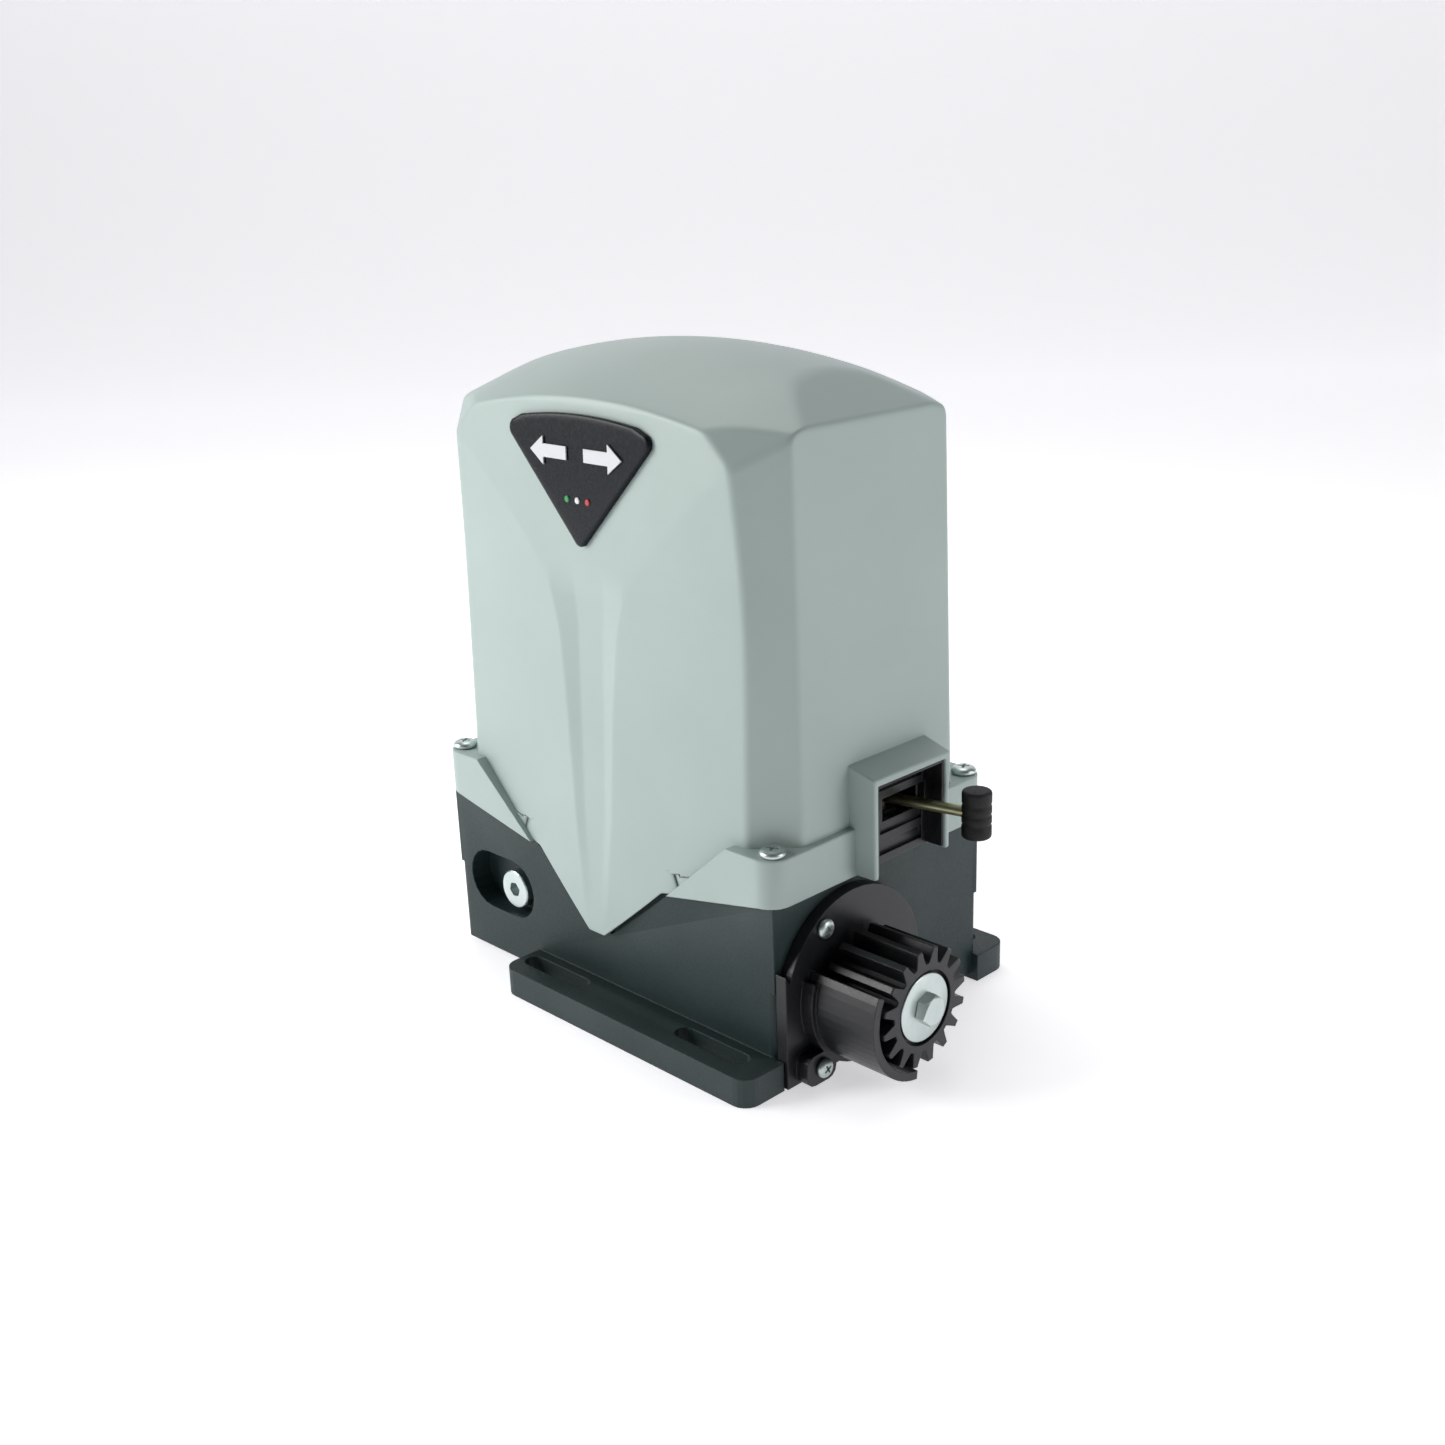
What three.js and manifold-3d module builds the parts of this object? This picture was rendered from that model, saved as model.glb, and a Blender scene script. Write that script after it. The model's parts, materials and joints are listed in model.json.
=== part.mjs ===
// Rack-and-pinion sliding-gate operator.
// Units mm. +X is the axis of the drive pinion, the gate runs along Y, +Z is up.
// The origin is the centre of the gearcase footprint on the mounting plane (underside of the feet).
import * as THREE from "three";
import { ConvexGeometry } from "three/addons/geometries/ConvexGeometry.js";
import { mergeVertices } from "three/addons/utils/BufferGeometryUtils.js";
import Module from "manifold-3d";

// ---------- driving dimensions ----------
const GAP = 0.3; // clearance left between pieces that touch
const BASE_X = 228, BASE_Y = 144, BASE_Z0 = 3, BASE_Z1 = 86.2; // gearcase box
const WALL = 5, FLOOR_Z = 8;
const FOOT_T = 14, FOOT_X0 = -52, FOOT_X1 = 118.4, FOOT_FRONT = 24.2, FOOT_REAR = 20;
const SLOT_L = 45, SLOT_W = 9.5, SLOT_XA = -26, SLOT_XB = 83.5;
const AX_Y = -26, AX_Z = 38; // drive axis
const MODULE = 3.111, TEETH = 16; // drive pinion
const PINION_X0 = 124.4, PINION_X1 = 161, PINION_HUB = 158; // teeth stand out past the hub face
const WORM_X = 30, WORM_Y = AX_Y + 35.25; // worm axis, 35.25 from the drive axis
const WHEEL_M = 1.75, WHEEL_T = 30; // worm wheel
const COVER_Z0 = 86.5, LUG_Z1 = 109, HOOD_TOP = 315;
const SCREW_X = 109.5, SCREW_Y = 66.5; // cover screws
const V_HALF = 46.5, V_SHOULDER = 74.2, V_APEX = 41.5; // skirt on the two long faces
const LIM_X = 101, LIM_Y = 11, LIM_Z = 112; // limit lever pivot
const LIM_REST = THREE.MathUtils.degToRad(12.5);
const REL_X = -75, REL_Z = 39; // release barrel
const MOTOR_R = 50;
const POSTS = [[-24, -60], [-24, 60], [84, -60], [84, 60]]; // posts under the motor plate

const wasm = await Module();
wasm.setup();

// ---------- mesh helpers ----------
function solid(geometry) {
  const g = geometry.index ? geometry.toNonIndexed() : geometry;
  const p = new THREE.BufferGeometry().setAttribute("position", g.getAttribute("position"));
  const m = mergeVertices(p, 1e-4);
  return new wasm.Manifold(new wasm.Mesh({
    numProp: 3,
    vertProperties: new Float32Array(m.attributes.position.array),
    triVerts: new Uint32Array(m.index.array),
  }));
}
function geometryOf(s) {
  const m = s.getMesh();
  const g = new THREE.BufferGeometry();
  const pos = new Float32Array(m.numVert * 3);
  for (let i = 0; i < m.numVert; i++)
    for (let k = 0; k < 3; k++) pos[3 * i + k] = m.vertProperties[m.numProp * i + k];
  g.setAttribute("position", new THREE.BufferAttribute(pos, 3));
  g.setIndex(Array.from(m.triVerts));
  const flat = g.toNonIndexed();
  flat.computeVertexNormals();
  return flat;
}
const box = (x0, x1, y0, y1, z0, z1) =>
  solid(new THREE.BoxGeometry(x1 - x0, y1 - y0, z1 - z0)
    .translate((x0 + x1) / 2, (y0 + y1) / 2, (z0 + z1) / 2));
// A closed outline in a plane, given as [a, b] pairs, run out along the third axis.
function prism(points, axis, from, to, holes = []) {
  const shape = new THREE.Shape(points.map(([a, b]) => new THREE.Vector2(a, b)));
  for (const h of holes) shape.holes.push(new THREE.Path(h.map(([a, b]) => new THREE.Vector2(a, b))));
  const g = new THREE.ExtrudeGeometry(shape, { depth: to - from, bevelEnabled: false, curveSegments: 8 });
  g.translate(0, 0, from);
  if (axis === "x") g.applyMatrix4(new THREE.Matrix4().set(0, 0, 1, 0, 1, 0, 0, 0, 0, 1, 0, 0, 0, 0, 0, 1)); // (a,b)=(y,z)
  if (axis === "y") g.applyMatrix4(new THREE.Matrix4().set(1, 0, 0, 0, 0, 0, -1, 0, 0, 1, 0, 0, 0, 0, 0, 1)); // (a,b)=(x,z), runs toward -y
  return solid(g);
}
const prismY = (points, y0, y1, holes) => prism(points, "y", -y1, -y0, holes);
function lathe(profile, axis, at, seg = 24) {
  // profile: [radius, height] from the axis and back to it
  const g = new THREE.LatheGeometry(profile.map(([r, h]) => new THREE.Vector2(r, h)), seg);
  const p = g.getAttribute("position");
  for (let i = 0; i < p.count; i++)
    if (Math.hypot(p.getX(i), p.getZ(i)) < 1e-6) { p.setX(i, 0); p.setZ(i, 0); }
  const kept = [];
  const q = g.toNonIndexed().getAttribute("position");
  const v = [new THREE.Vector3(), new THREE.Vector3(), new THREE.Vector3()];
  for (let i = 0; i < q.count; i += 3) {
    v.forEach((w, k) => w.fromBufferAttribute(q, i + k));
    if (v[0].distanceTo(v[1]) < 1e-6 || v[1].distanceTo(v[2]) < 1e-6 || v[0].distanceTo(v[2]) < 1e-6) continue;
    for (const w of v) kept.push(w.x, w.y, w.z);
  }
  const out = new THREE.BufferGeometry().setAttribute("position", new THREE.Float32BufferAttribute(kept, 3));
  if (axis === "z") out.rotateX(Math.PI / 2);
  if (axis === "x") out.rotateZ(-Math.PI / 2);
  out.translate(...at);
  const s = solid(out);
  return s.volume() < 0 ? solid(flip(out)) : s;
}
function flip(g) {
  const p = g.getAttribute("position").array.slice();
  for (let i = 0; i < p.length; i += 9) for (let k = 0; k < 3; k++) {
    const t = p[i + 3 + k]; p[i + 3 + k] = p[i + 6 + k]; p[i + 6 + k] = t;
  }
  return new THREE.BufferGeometry().setAttribute("position", new THREE.Float32BufferAttribute(p, 3));
}
const rod = (axis, r, a, b, c0, c1, seg = 20) => { // cylinder along axis from c0 to c1; (a,b) are the other two coordinates
  const at = axis === "x" ? [0, a, b] : axis === "y" ? [a, 0, b] : [a, b, 0];
  return lathe([[0, c0], [r, c0], [r, c1], [0, c1]], axis, at, seg);
};
const ring = (axis, ro, ri, a, b, c0, c1, seg = 20) =>
  rod(axis, ro, a, b, c0, c1, seg).subtract(rod(axis, ri, a, b, c0 - 1, c1 + 1, seg));
// Sections with the same number of points, in order, joined one to the next and capped.
function loft(sections) {
  const n = sections[0].length, tri = [];
  const put = (a, b, c) => tri.push(...a, ...b, ...c);
  for (let i = 0; i + 1 < sections.length; i++)
    for (let k = 0; k < n; k++) {
      const a = sections[i][k], b = sections[i][(k + 1) % n], c = sections[i + 1][(k + 1) % n], d = sections[i + 1][k];
      put(a, b, c); put(a, c, d);
    }
  const cap = (s, rev) => {
    const nrm = new THREE.Vector3();
    for (let k = 0; k < n; k++) {
      const p = new THREE.Vector3(...s[k]), q = new THREE.Vector3(...s[(k + 1) % n]);
      nrm.x += (p.y - q.y) * (p.z + q.z); nrm.y += (p.z - q.z) * (p.x + q.x); nrm.z += (p.x - q.x) * (p.y + q.y);
    }
    nrm.normalize();
    const e1 = new THREE.Vector3(...s[1]).sub(new THREE.Vector3(...s[0])); e1.addScaledVector(nrm, -e1.dot(nrm)).normalize();
    const e2 = new THREE.Vector3().crossVectors(nrm, e1);
    const flat = s.map((p) => new THREE.Vector2(e1.dot(new THREE.Vector3(...p)), e2.dot(new THREE.Vector3(...p))));
    for (const [a, b, c] of THREE.ShapeUtils.triangulateShape(flat, []))
      rev ? put(s[a], s[c], s[b]) : put(s[a], s[b], s[c]);
  };
  cap(sections[0], true);
  cap(sections[sections.length - 1], false);
  const g = new THREE.BufferGeometry().setAttribute("position", new THREE.Float32BufferAttribute(tri, 3));
  const s = solid(g);
  return s.volume() < 0 ? solid(flip(g)) : s;
}
const hull = (points) => solid(new ConvexGeometry(points.map((p) => new THREE.Vector3(...p))));
// Everything beyond the plane through p with outward normal n.
function beyond(p, n) {
  const g = new THREE.BoxGeometry(1200, 1200, 600).translate(0, 0, 300);
  const q = new THREE.Quaternion().setFromUnitVectors(new THREE.Vector3(0, 0, 1), new THREE.Vector3(...n).normalize());
  g.applyQuaternion(q);
  g.translate(...p);
  return solid(g);
}
const moved = (s, m) => {
  const g = geometryOf(s);
  g.applyMatrix4(m);
  return solid(m.determinant() < 0 ? flip(g) : g);
};
const half = new THREE.Matrix4().makeRotationZ(Math.PI);
const both = (s) => s.add(moved(s, half)); // a feature and its twin, turned half round about Z
const mirrorX = new THREE.Matrix4().makeScale(-1, 1, 1);
const arc = (cx, cy, r, a0, a1, n) => Array.from({ length: n + 1 }, (_, i) => {
  const a = THREE.MathUtils.degToRad(a0 + ((a1 - a0) * i) / n);
  return [cx + r * Math.cos(a), cy + r * Math.sin(a)];
});
const stadium = (cx, cy, halfLen, r, n = 8) => [
  ...arc(cx + halfLen - r, cy, r, -90, 90, n), ...arc(cx - halfLen + r, cy, r, 90, 270, n)];
const rounded = (x0, x1, y0, y1, r, n = 4) => [
  ...arc(x1 - r, y0 + r, r, -90, 0, n), ...arc(x1 - r, y1 - r, r, 0, 90, n),
  ...arc(x0 + r, y1 - r, r, 90, 180, n), ...arc(x0 + r, y0 + r, r, 180, 270, n)];
const hexagon = (cx, cy, af, turn = 0) => arc(cx, cy, af / Math.sqrt(3), turn, turn + 300, 5);

const root = new THREE.Group();
root.name = "sliding_gate_operator";
function node(name, s, color, roughness, metalness = 0) {
  const mesh = new THREE.Mesh(geometryOf(s), new THREE.MeshStandardMaterial({ color, roughness, metalness }));
  mesh.name = name;
  root.add(mesh);
}
const C = {
  casting: 0x3b4542, cover: 0xc3cdca, black: 0x17191b, zinc: 0xb9c0c4, steel: 0x9aa0a4, brass: 0xb08d4a,
  bronze: 0x9c6b34, copper: 0xa85a2c, board: 0x1f5a3a, dark: 0x2b2f33, rubber: 0x1c1c1c, badge: 0x23272c,
};

// ---------- gearcase casting ----------
const vLine = (u) => { // lower edge of the cover skirt on the long faces
  const a = Math.abs(u);
  if (a <= V_HALF) return Math.max(V_APEX, 37.2 + (V_SHOULDER - 37.2) * (a / V_HALF));
  return V_SHOULDER + (COVER_Z0 - V_SHOULDER) * Math.min(1, (a - V_HALF) / (108 - V_HALF));
};
const vPocket = (grow) => { // the same edge, let down by a clearance
  const d = grow * 1.3;
  return [[-V_HALF - grow, BASE_Z1 + 1], [-V_HALF - grow, V_SHOULDER - d], [-5.4 - grow, V_APEX - grow],
    [5.4 + grow, V_APEX - grow], [V_HALF + grow, V_SHOULDER - d], [V_HALF + grow, BASE_Z1 + 1]];
};
{
  const hx = BASE_X / 2, hy = BASE_Y / 2;
  let s = prism(rounded(-hx, hx, -hy, hy, 3, 3), "z", BASE_Z0, BASE_Z1);
  s = s.subtract(box(-hx + WALL, hx - WALL, -hy + WALL, hy - WALL, FLOOR_Z, BASE_Z1 + 1));
  // feet with adjusting slots
  const foot = (y0, y1, side) => {
    const r = 8;
    const out = side < 0
      ? [...arc(FOOT_X0 + r, y0 + r, r, 180, 270, 5), ...arc(FOOT_X1 - r, y0 + r, r, 270, 360, 5), [FOOT_X1, y1], [FOOT_X0, y1]]
      : [[FOOT_X0, y0], [FOOT_X1, y0], ...arc(FOOT_X1 - r, y1 - r, r, 0, 90, 5), ...arc(FOOT_X0 + r, y1 - r, r, 90, 180, 5)];
    const yc = side < 0 ? -hy - 10.3 : hy + 9;
    return prism(out, "z", 0, FOOT_T, [stadium(SLOT_XA, yc, SLOT_L / 2, SLOT_W / 2, 6), stadium(SLOT_XB, yc, SLOT_L / 2, SLOT_W / 2, 6)]);
  };
  s = s.add(foot(-hy - FOOT_FRONT, -hy + 4, -1)).add(foot(hy - 4, hy + FOOT_REAR, 1));
  s = s.subtract(box(-hx + WALL, hx - WALL, -hy + WALL, hy - WALL, FLOOR_Z, FLOOR_Z + 12));
  s = s.subtract(box(hx, hx + 10, -hy, 22, -1, FOOT_T + 1)); // room for the pinion guard
  s = s.add(box(-12, 12, -hy + 1, hy - 1, 0, BASE_Z0 + 1)); // rib that meets the mounting plane
  // corner bosses for the cover screws
  for (const sx of [-1, 1]) for (const sy of [-1, 1]) {
    const boss = rod("z", 7.5, sx * SCREW_X, sy * SCREW_Y, 46, BASE_Z1, 12)
      .intersect(box(-hx, hx, -hy, hy, 40, BASE_Z1));
    s = s.add(boss);
  }
  // web that carries the inner bearing of the drive shaft, and the two bearing bosses
  s = s.add(box(0, 13, -hy + WALL - 1, 24, FLOOR_Z - 1, 74));
  s = s.add(rod("x", 27, AX_Y, AX_Z, 92, hx - 1, 24).intersect(box(80, hx - 1, -70, 40, FLOOR_Z - 1, 80)));
  // thrust-bearing boss under the worm
  s = s.add(rod("z", 14.5, WORM_X, WORM_Y, FLOOR_Z - 1, 17, 20));
  // blind housing behind the release recess
  s = s.add(box(-109.5, -50, -hy + WALL - 1, -55, 18, 64));
  // guide for the release rod
  s = s.add(box(-38, -30, -53, -41, FLOOR_Z - 1, 46)).subtract(rod("x", 3.9, -47, REL_Z, -40, -28, 16));
  // four posts for the motor plate
  for (const [x, y] of POSTS) s = s.add(rod("z", 8, x, y, FLOOR_Z - 1, 83.7, 12));
  // bores
  s = s.subtract(rod("x", 21.3, AX_Y, AX_Z, -1, 10, 20));
  s = s.subtract(rod("x", 13, AX_Y, AX_Z, -1, 14, 24));
  s = s.subtract(rod("x", 21.3, AX_Y, AX_Z, 91, 106.4, 20));
  s = s.subtract(rod("x", 17.3, AX_Y, AX_Z, 105, hx + 1, 20));
  s = s.subtract(rod("z", 11.3, WORM_X, WORM_Y, 9.7, 20, 16));
  // release recess in the badge face
  s = s.subtract(prismY(stadium(-79.7, 42.2, 25.7, 15.5, 10), -hy - 1, -60));
  s = s.subtract(rod("y", 8.3, REL_X, REL_Z, -62, -50, 20));
  // relief that takes the pointed skirt, on both long faces
  s = s.subtract(both(prismY(vPocket(0.5), -hy - 1, -69.8)));
  // cable opening in the floor
  s = s.subtract(rod("z", 16.3, -70, 20, 0, 12, 20));
  // screw holes
  for (const sx of [-1, 1]) for (const sy of [-1, 1]) s = s.subtract(rod("z", 2.9, sx * SCREW_X, sy * SCREW_Y, 64, 90, 8));
  for (const [x, y] of POSTS) s = s.subtract(rod("z", 3.0, x, y, 60, 90, 8));
  s = s.subtract(rod("x", 2.9, -46.5, 71, 100, 116, 12)).subtract(rod("x", 2.9, -56, 8.5, 100, 116, 12));
  node("base_casting", s, C.casting, 0.7, 0.35);
}

// ---------- pinion guard ----------
{
  const out = [];
  for (const [y, z] of arc(AX_Y, AX_Z, 45, -90, 270, 44).slice(0, -1)) out.push([Math.max(y, -71.6), Math.max(z, 1)]);
  let s = prism(out.filter((p, i) => i === 0 || Math.hypot(p[0] - out[i - 1][0], p[1] - out[i - 1][1]) > 0.05), "x", 114.3, 120.3);
  s = s.add(prism([[-71.6, 1], [-45, 1], [-45, 18], [-71.6, 56]], "x", 114.3, 120.3));
  s = s.add(prism(rounded(-66, -47, 1, 16, 5, 3), "x", 119, 127));
  // shell beside the pinion, open toward the rack
  const shell = [...arc(AX_Y, AX_Z, 34, 152, 262, 18), ...arc(AX_Y, AX_Z, 30, 262, 152, 16)];
  s = s.add(prism(shell, "x", 119, 160));
  s = s.add(prism([...arc(AX_Y, AX_Z, 36.5, 160, 256, 12), ...arc(AX_Y, AX_Z, 32, 256, 160, 10)], "x", 119, 127));
  s = s.subtract(rod("x", 30, AX_Y, AX_Z, 122.4, 170, 32));
  s = s.subtract(rod("x", 15.5, AX_Y, AX_Z, 110, 130, 28));
  s = s.subtract(rod("x", 2.7, -46.5, 71, 110, 130, 12)).subtract(rod("x", 2.7, -56, 8.5, 110, 130, 12));
  node("pinion_guard", s, C.black, 0.42, 0);
}
function panScrew(axis, a, b, seat, headR, headH, shankR, length, dir) {
  // pan head with a cross recess; dir is the way the head faces along the axis
  const h = [[0, 0], [headR * 0.92, 0], [headR, headH * 0.3], [headR * 0.8, headH * 0.8], [headR * 0.4, headH], [0, headH]]
    .map(([r, t]) => [r, t]);
  const at = axis === "x" ? [seat, a, b] : [a, b, seat];
  let s = lathe(h, axis, at, 16);
  const c0 = seat - length * dir;
  s = s.add(rod(axis, shankR, a, b, Math.min(c0, seat + 0.2), Math.max(c0, seat + 0.2), 12));
  const w = headR * 0.13, l = headR * 0.52, z0 = seat + headH * 0.45, z1 = seat + headH + 1;
  const bar = (p, q) => axis === "x" ? box(z0, z1, a - p, a + p, b - q, b + q) : box(a - p, a + p, b - q, b + q, z0, z1);
  return s.subtract(bar(l, w)).subtract(bar(w, l));
}
node("guard_screw_upper", panScrew("x", -46.5, 71, 120.6, 4.6, 3, 2.3, 12, 1), C.zinc, 0.3, 1);
node("guard_screw_lower", panScrew("x", -56, 8.5, 127.3, 4.6, 3, 2.3, 20, 1), C.zinc, 0.3, 1);

// ---------- output train ----------
{
  // drive shaft: inner journal, wheel seat, outer journal, pinion seat
  let s = lathe([[0, -0.6], [9.7, -0.6], [9.7, 14], [12, 14], [12, 22.4], [10.7, 22.4], [10.7, 90], [9.7, 90], [9.7, 113], [8.4, 113],
    [8.4, 157.7], [0, 157.7]], "x", [0, AX_Y, AX_Z], 24);
  s = s.subtract(rod("x", 3.9, AX_Y, AX_Z, 128, 160, 16));
  s = s.subtract(box(128, 150, AX_Y - 2.8, AX_Y + 2.8, AX_Z + 5.6, AX_Z + 12)); // keyway
  s = s.add(box(24.4, 35.6, AX_Y - 2.5, AX_Y + 2.5, AX_Z + 7.9, AX_Z + 12.6)); // key that drives the shaft from the wheel
  node("output_shaft", s, C.steel, 0.3, 1);
  node("pinion_key", box(128.4, 149.6, AX_Y - 2.5, AX_Y + 2.5, AX_Z + 5.9, AX_Z + 10.6), C.steel, 0.35, 1);

  const gear = (teeth, rTip, rRoot, tip, root_, full) => {
    const p = [];
    for (let i = 0; i < teeth; i++) {
      const c = (i * 2 * Math.PI) / teeth;
      const mid = (rTip + rRoot) / 2;
      const flank = (tip + root_) / 2 + 0.12 * (root_ - tip);
      const pts = [[rRoot, -root_], [mid, -flank], [rTip, -tip], [rTip, tip], [mid, flank], [rRoot, root_]];
      for (const [r, w] of full ? pts : [pts[0], pts[2], pts[3], pts[5]]) p.push([r, c + w / r]);
    }
    return p;
  };
  // pinion: 16 teeth, outside diameter 56
  const pp = gear(TEETH, (MODULE * (TEETH + 2)) / 2, (MODULE * (TEETH - 2.5)) / 2, 1.5, 3.1, true).map(([r, a]) =>
    [AX_Y + r * Math.cos(a + 0.14), AX_Z + r * Math.sin(a + 0.14)]);
  let g = prism(pp, "x", PINION_X0, PINION_X1);
  g = g.subtract(rod("x", 8.7, AX_Y, AX_Z, 120, 160, 28));
  g = g.subtract(box(120, 160, AX_Y - 2.8, AX_Y + 2.8, AX_Z, AX_Z + 10.9));
  g = g.subtract(rod("x", 17.5, AX_Y, AX_Z, PINION_HUB, 165, 32)); // recess the washer sits in
  node("drive_pinion", g, C.black, 0.45, 0);
  node("pinion_washer", lathe([[0, 158.3], [15.6, 158.3], [16, 158.7], [16, 160.4], [15.6, 160.8], [0, 160.8]], "x", [0, AX_Y, AX_Z], 32)
    .subtract(rod("x", 4.4, AX_Y, AX_Z, 150, 168, 16)), C.zinc, 0.3, 1);
  {
    let b = prism(hexagon(AX_Y, AX_Z, 13, 15), "x", 161.1, 166.4);
    b = b.intersect(lathe([[0, 161.1], [7.6, 161.1], [7.6, 165.4], [6.3, 166.4], [0, 166.4]], "x", [0, AX_Y, AX_Z], 24));
    b = b.add(rod("x", 3.6, AX_Y, AX_Z, 130, 161.5, 16));
    node("pinion_bolt", b, C.zinc, 0.3, 1);
  }
  // worm wheel, teeth set to the lead of the worm
  const lead = (Math.PI * WHEEL_M) / (2 * Math.PI * 9), rp = (WHEEL_M * WHEEL_T) / 2;
  const wp = gear(WHEEL_T, 27.75, 24.1, 0.62, 1.6, false);
  const sections = [];
  for (const x of [-7, 7]) sections.push(wp.map(([r, a]) => {
    const t = a + Math.PI / WHEEL_T + (x * lead) / rp;
    return [WORM_X + x, AX_Y + r * Math.cos(t), AX_Z + r * Math.sin(t)];
  }));
  let w = loft(sections);
  for (let i = 0; i < 6; i++) {
    const a = (i * Math.PI) / 3 + 0.5;
    w = w.subtract(rod("x", 3.2, AX_Y + 17.5 * Math.cos(a), AX_Z + 17.5 * Math.sin(a), 20, 40, 12));
  }
  w = w.subtract(rod("x", 11, AX_Y, AX_Z, 20, 40, 28));
  w = w.subtract(box(20, 40, AX_Y - 2.8, AX_Y + 2.8, AX_Z, AX_Z + 12.9));
  node("worm_wheel", w, C.bronze, 0.4, 1);
}
const bearing = (axis, ro, ri, a, b, c0, c1) => {
  const m = (ro + ri) / 2, w = (ro - ri) / 8;
  return ring(axis, ro, ri, a, b, c0, c1, 16)
    .subtract(ring(axis, m + w, m - w, a, b, c1 - 0.8, c1 + 2, 16));
};
node("output_bearing_inner", bearing("x", 21, 10, AX_Y, AX_Z, 0.4, 9.7), C.steel, 0.25, 1);
node("output_bearing_outer", bearing("x", 21, 10, AX_Y, AX_Z, 94, 106.1), C.steel, 0.25, 1);
node("oil_seal", ring("x", 17, 10.1, AX_Y, AX_Z, 106.6, 113.2, 28), C.rubber, 0.6, 0);

// ---------- motor ----------
{
  // rotor shaft with a right-hand single-start worm
  const P = Math.PI * WHEEL_M;
  let s = lathe([[0, 10.4], [4, 10.4], [4, 17.2], [6.6, 17.2], [6.6, 60], [7.2, 62], [7.2, 84], [7.2, 104.5], [8, 104.5], [8, 168], [6, 168], [6, 184], [0, 184]],
    "z", [WORM_X, WORM_Y, 0], 20);
  const z0 = 24, z1 = 52, per = 12, n = Math.round(((z1 - z0) / P) * per);
  const sections = [];
  for (let i = 0; i <= n; i++) {
    const t = (i / per) * 2 * Math.PI;
    const zc = z0 + (i / per) * P;
    // azimuth chosen so a thread crosses the drive plane where the wheel has a gap
    const a = t + ((z0 - AX_Z) / P) * 2 * Math.PI - Math.PI / 2;
    const c = Math.cos(a), q = Math.sin(a);
    const e = Math.min(1, i / 4, (n - i) / 4);
    const tip = 6.3 + (10.4 - 6.3) * (0.12 + 0.88 * e);
    sections.push([[5.9, -1.75], [tip, -0.68], [tip, 0.68], [5.9, 1.75]].map(([r, dz]) => [WORM_X + r * c, WORM_Y + r * q, zc + dz]));
  }
  s = s.add(loft(sections));
  node("rotor_shaft", s, C.steel, 0.28, 1);
}
node("rotor_core", ring("z", 27, 8.3, WORM_X, WORM_Y, 112, 160, 20), C.dark, 0.45, 0.8);
node("rotor_fan", (() => {
  let s = ring("z", 12, 6.3, WORM_X, WORM_Y, 185.4 - 8.6, 182.5, 20);
  for (let i = 0; i < 6; i++) {
    const a = (i * Math.PI) / 3, c = Math.cos(a), q = Math.sin(a);
    const f = (r, w, z) => [WORM_X + r * c - w * q, WORM_Y + r * q + w * c, z];
    s = s.add(hull([f(10, -1.5, 177), f(10, 0.5, 177), f(26, -1.5, 177), f(26, 0.5, 177), f(10, 1.5, 182.4), f(10, 3.5, 182.4), f(26, 4.5, 182.4), f(26, 6.5, 182.4)]));
  }
  return s;
})(), C.black, 0.5, 0);
{
  // plate that closes the gear chamber and carries the motor
  let s = prism(rounded(-34, 94, -65, 65, 6, 3), "z", 84.8, 92);
  s = s.add(ring("z", 20, 15.5, WORM_X, WORM_Y, 76, 99, 20));
  s = s.subtract(rod("z", 15.3, WORM_X, WORM_Y, 85.7, 110, 20)).subtract(rod("z", 9, WORM_X, WORM_Y, 60, 110, 16));
  s = s.subtract(rod("z", 15.3, WORM_X, WORM_Y, 60, 83, 20));
  for (const [x, y] of POSTS) s = s.subtract(rod("z", 3.4, x, y, 80, 100, 8));
  for (const a of [45, 135, 225, 315]) {
    const t = THREE.MathUtils.degToRad(a);
    s = s.subtract(rod("z", 2.5, WORM_X + 45.5 * Math.cos(t), WORM_Y + 45.5 * Math.sin(t), 86.5, 110, 8));
  }
  node("motor_plate", s, 0x8d9294, 0.5, 0.9);
  let gk = prism(rounded(-34, 94, -65, 65, 6, 3), "z", 83.95, 84.5)
    .subtract(prism(rounded(-14, 74, -48, 48, 6, 3), "z", 80, 90));
  for (const [x, y] of POSTS) gk = gk.subtract(rod("z", 3.4, x, y, 80, 100, 8));
  node("plate_gasket", gk, 0x6a4b32, 0.9, 0);
}
POSTS.forEach(([x, y], i) => {
  let b = prism(hexagon(x, y, 10, 0), "z", 92.3, 96.3).add(rod("z", 2.7, x, y, 64, 93, 8));
  node("plate_bolt_" + "abcd"[i], b, C.zinc, 0.35, 1);
});
node("worm_bearing_lower", bearing("z", 11, 4.3, WORM_X, WORM_Y, 10, 16.8), C.steel, 0.25, 1);
node("worm_bearing_upper", bearing("z", 15, 7.5, WORM_X, WORM_Y, 86, 95), C.steel, 0.25, 1);
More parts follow.
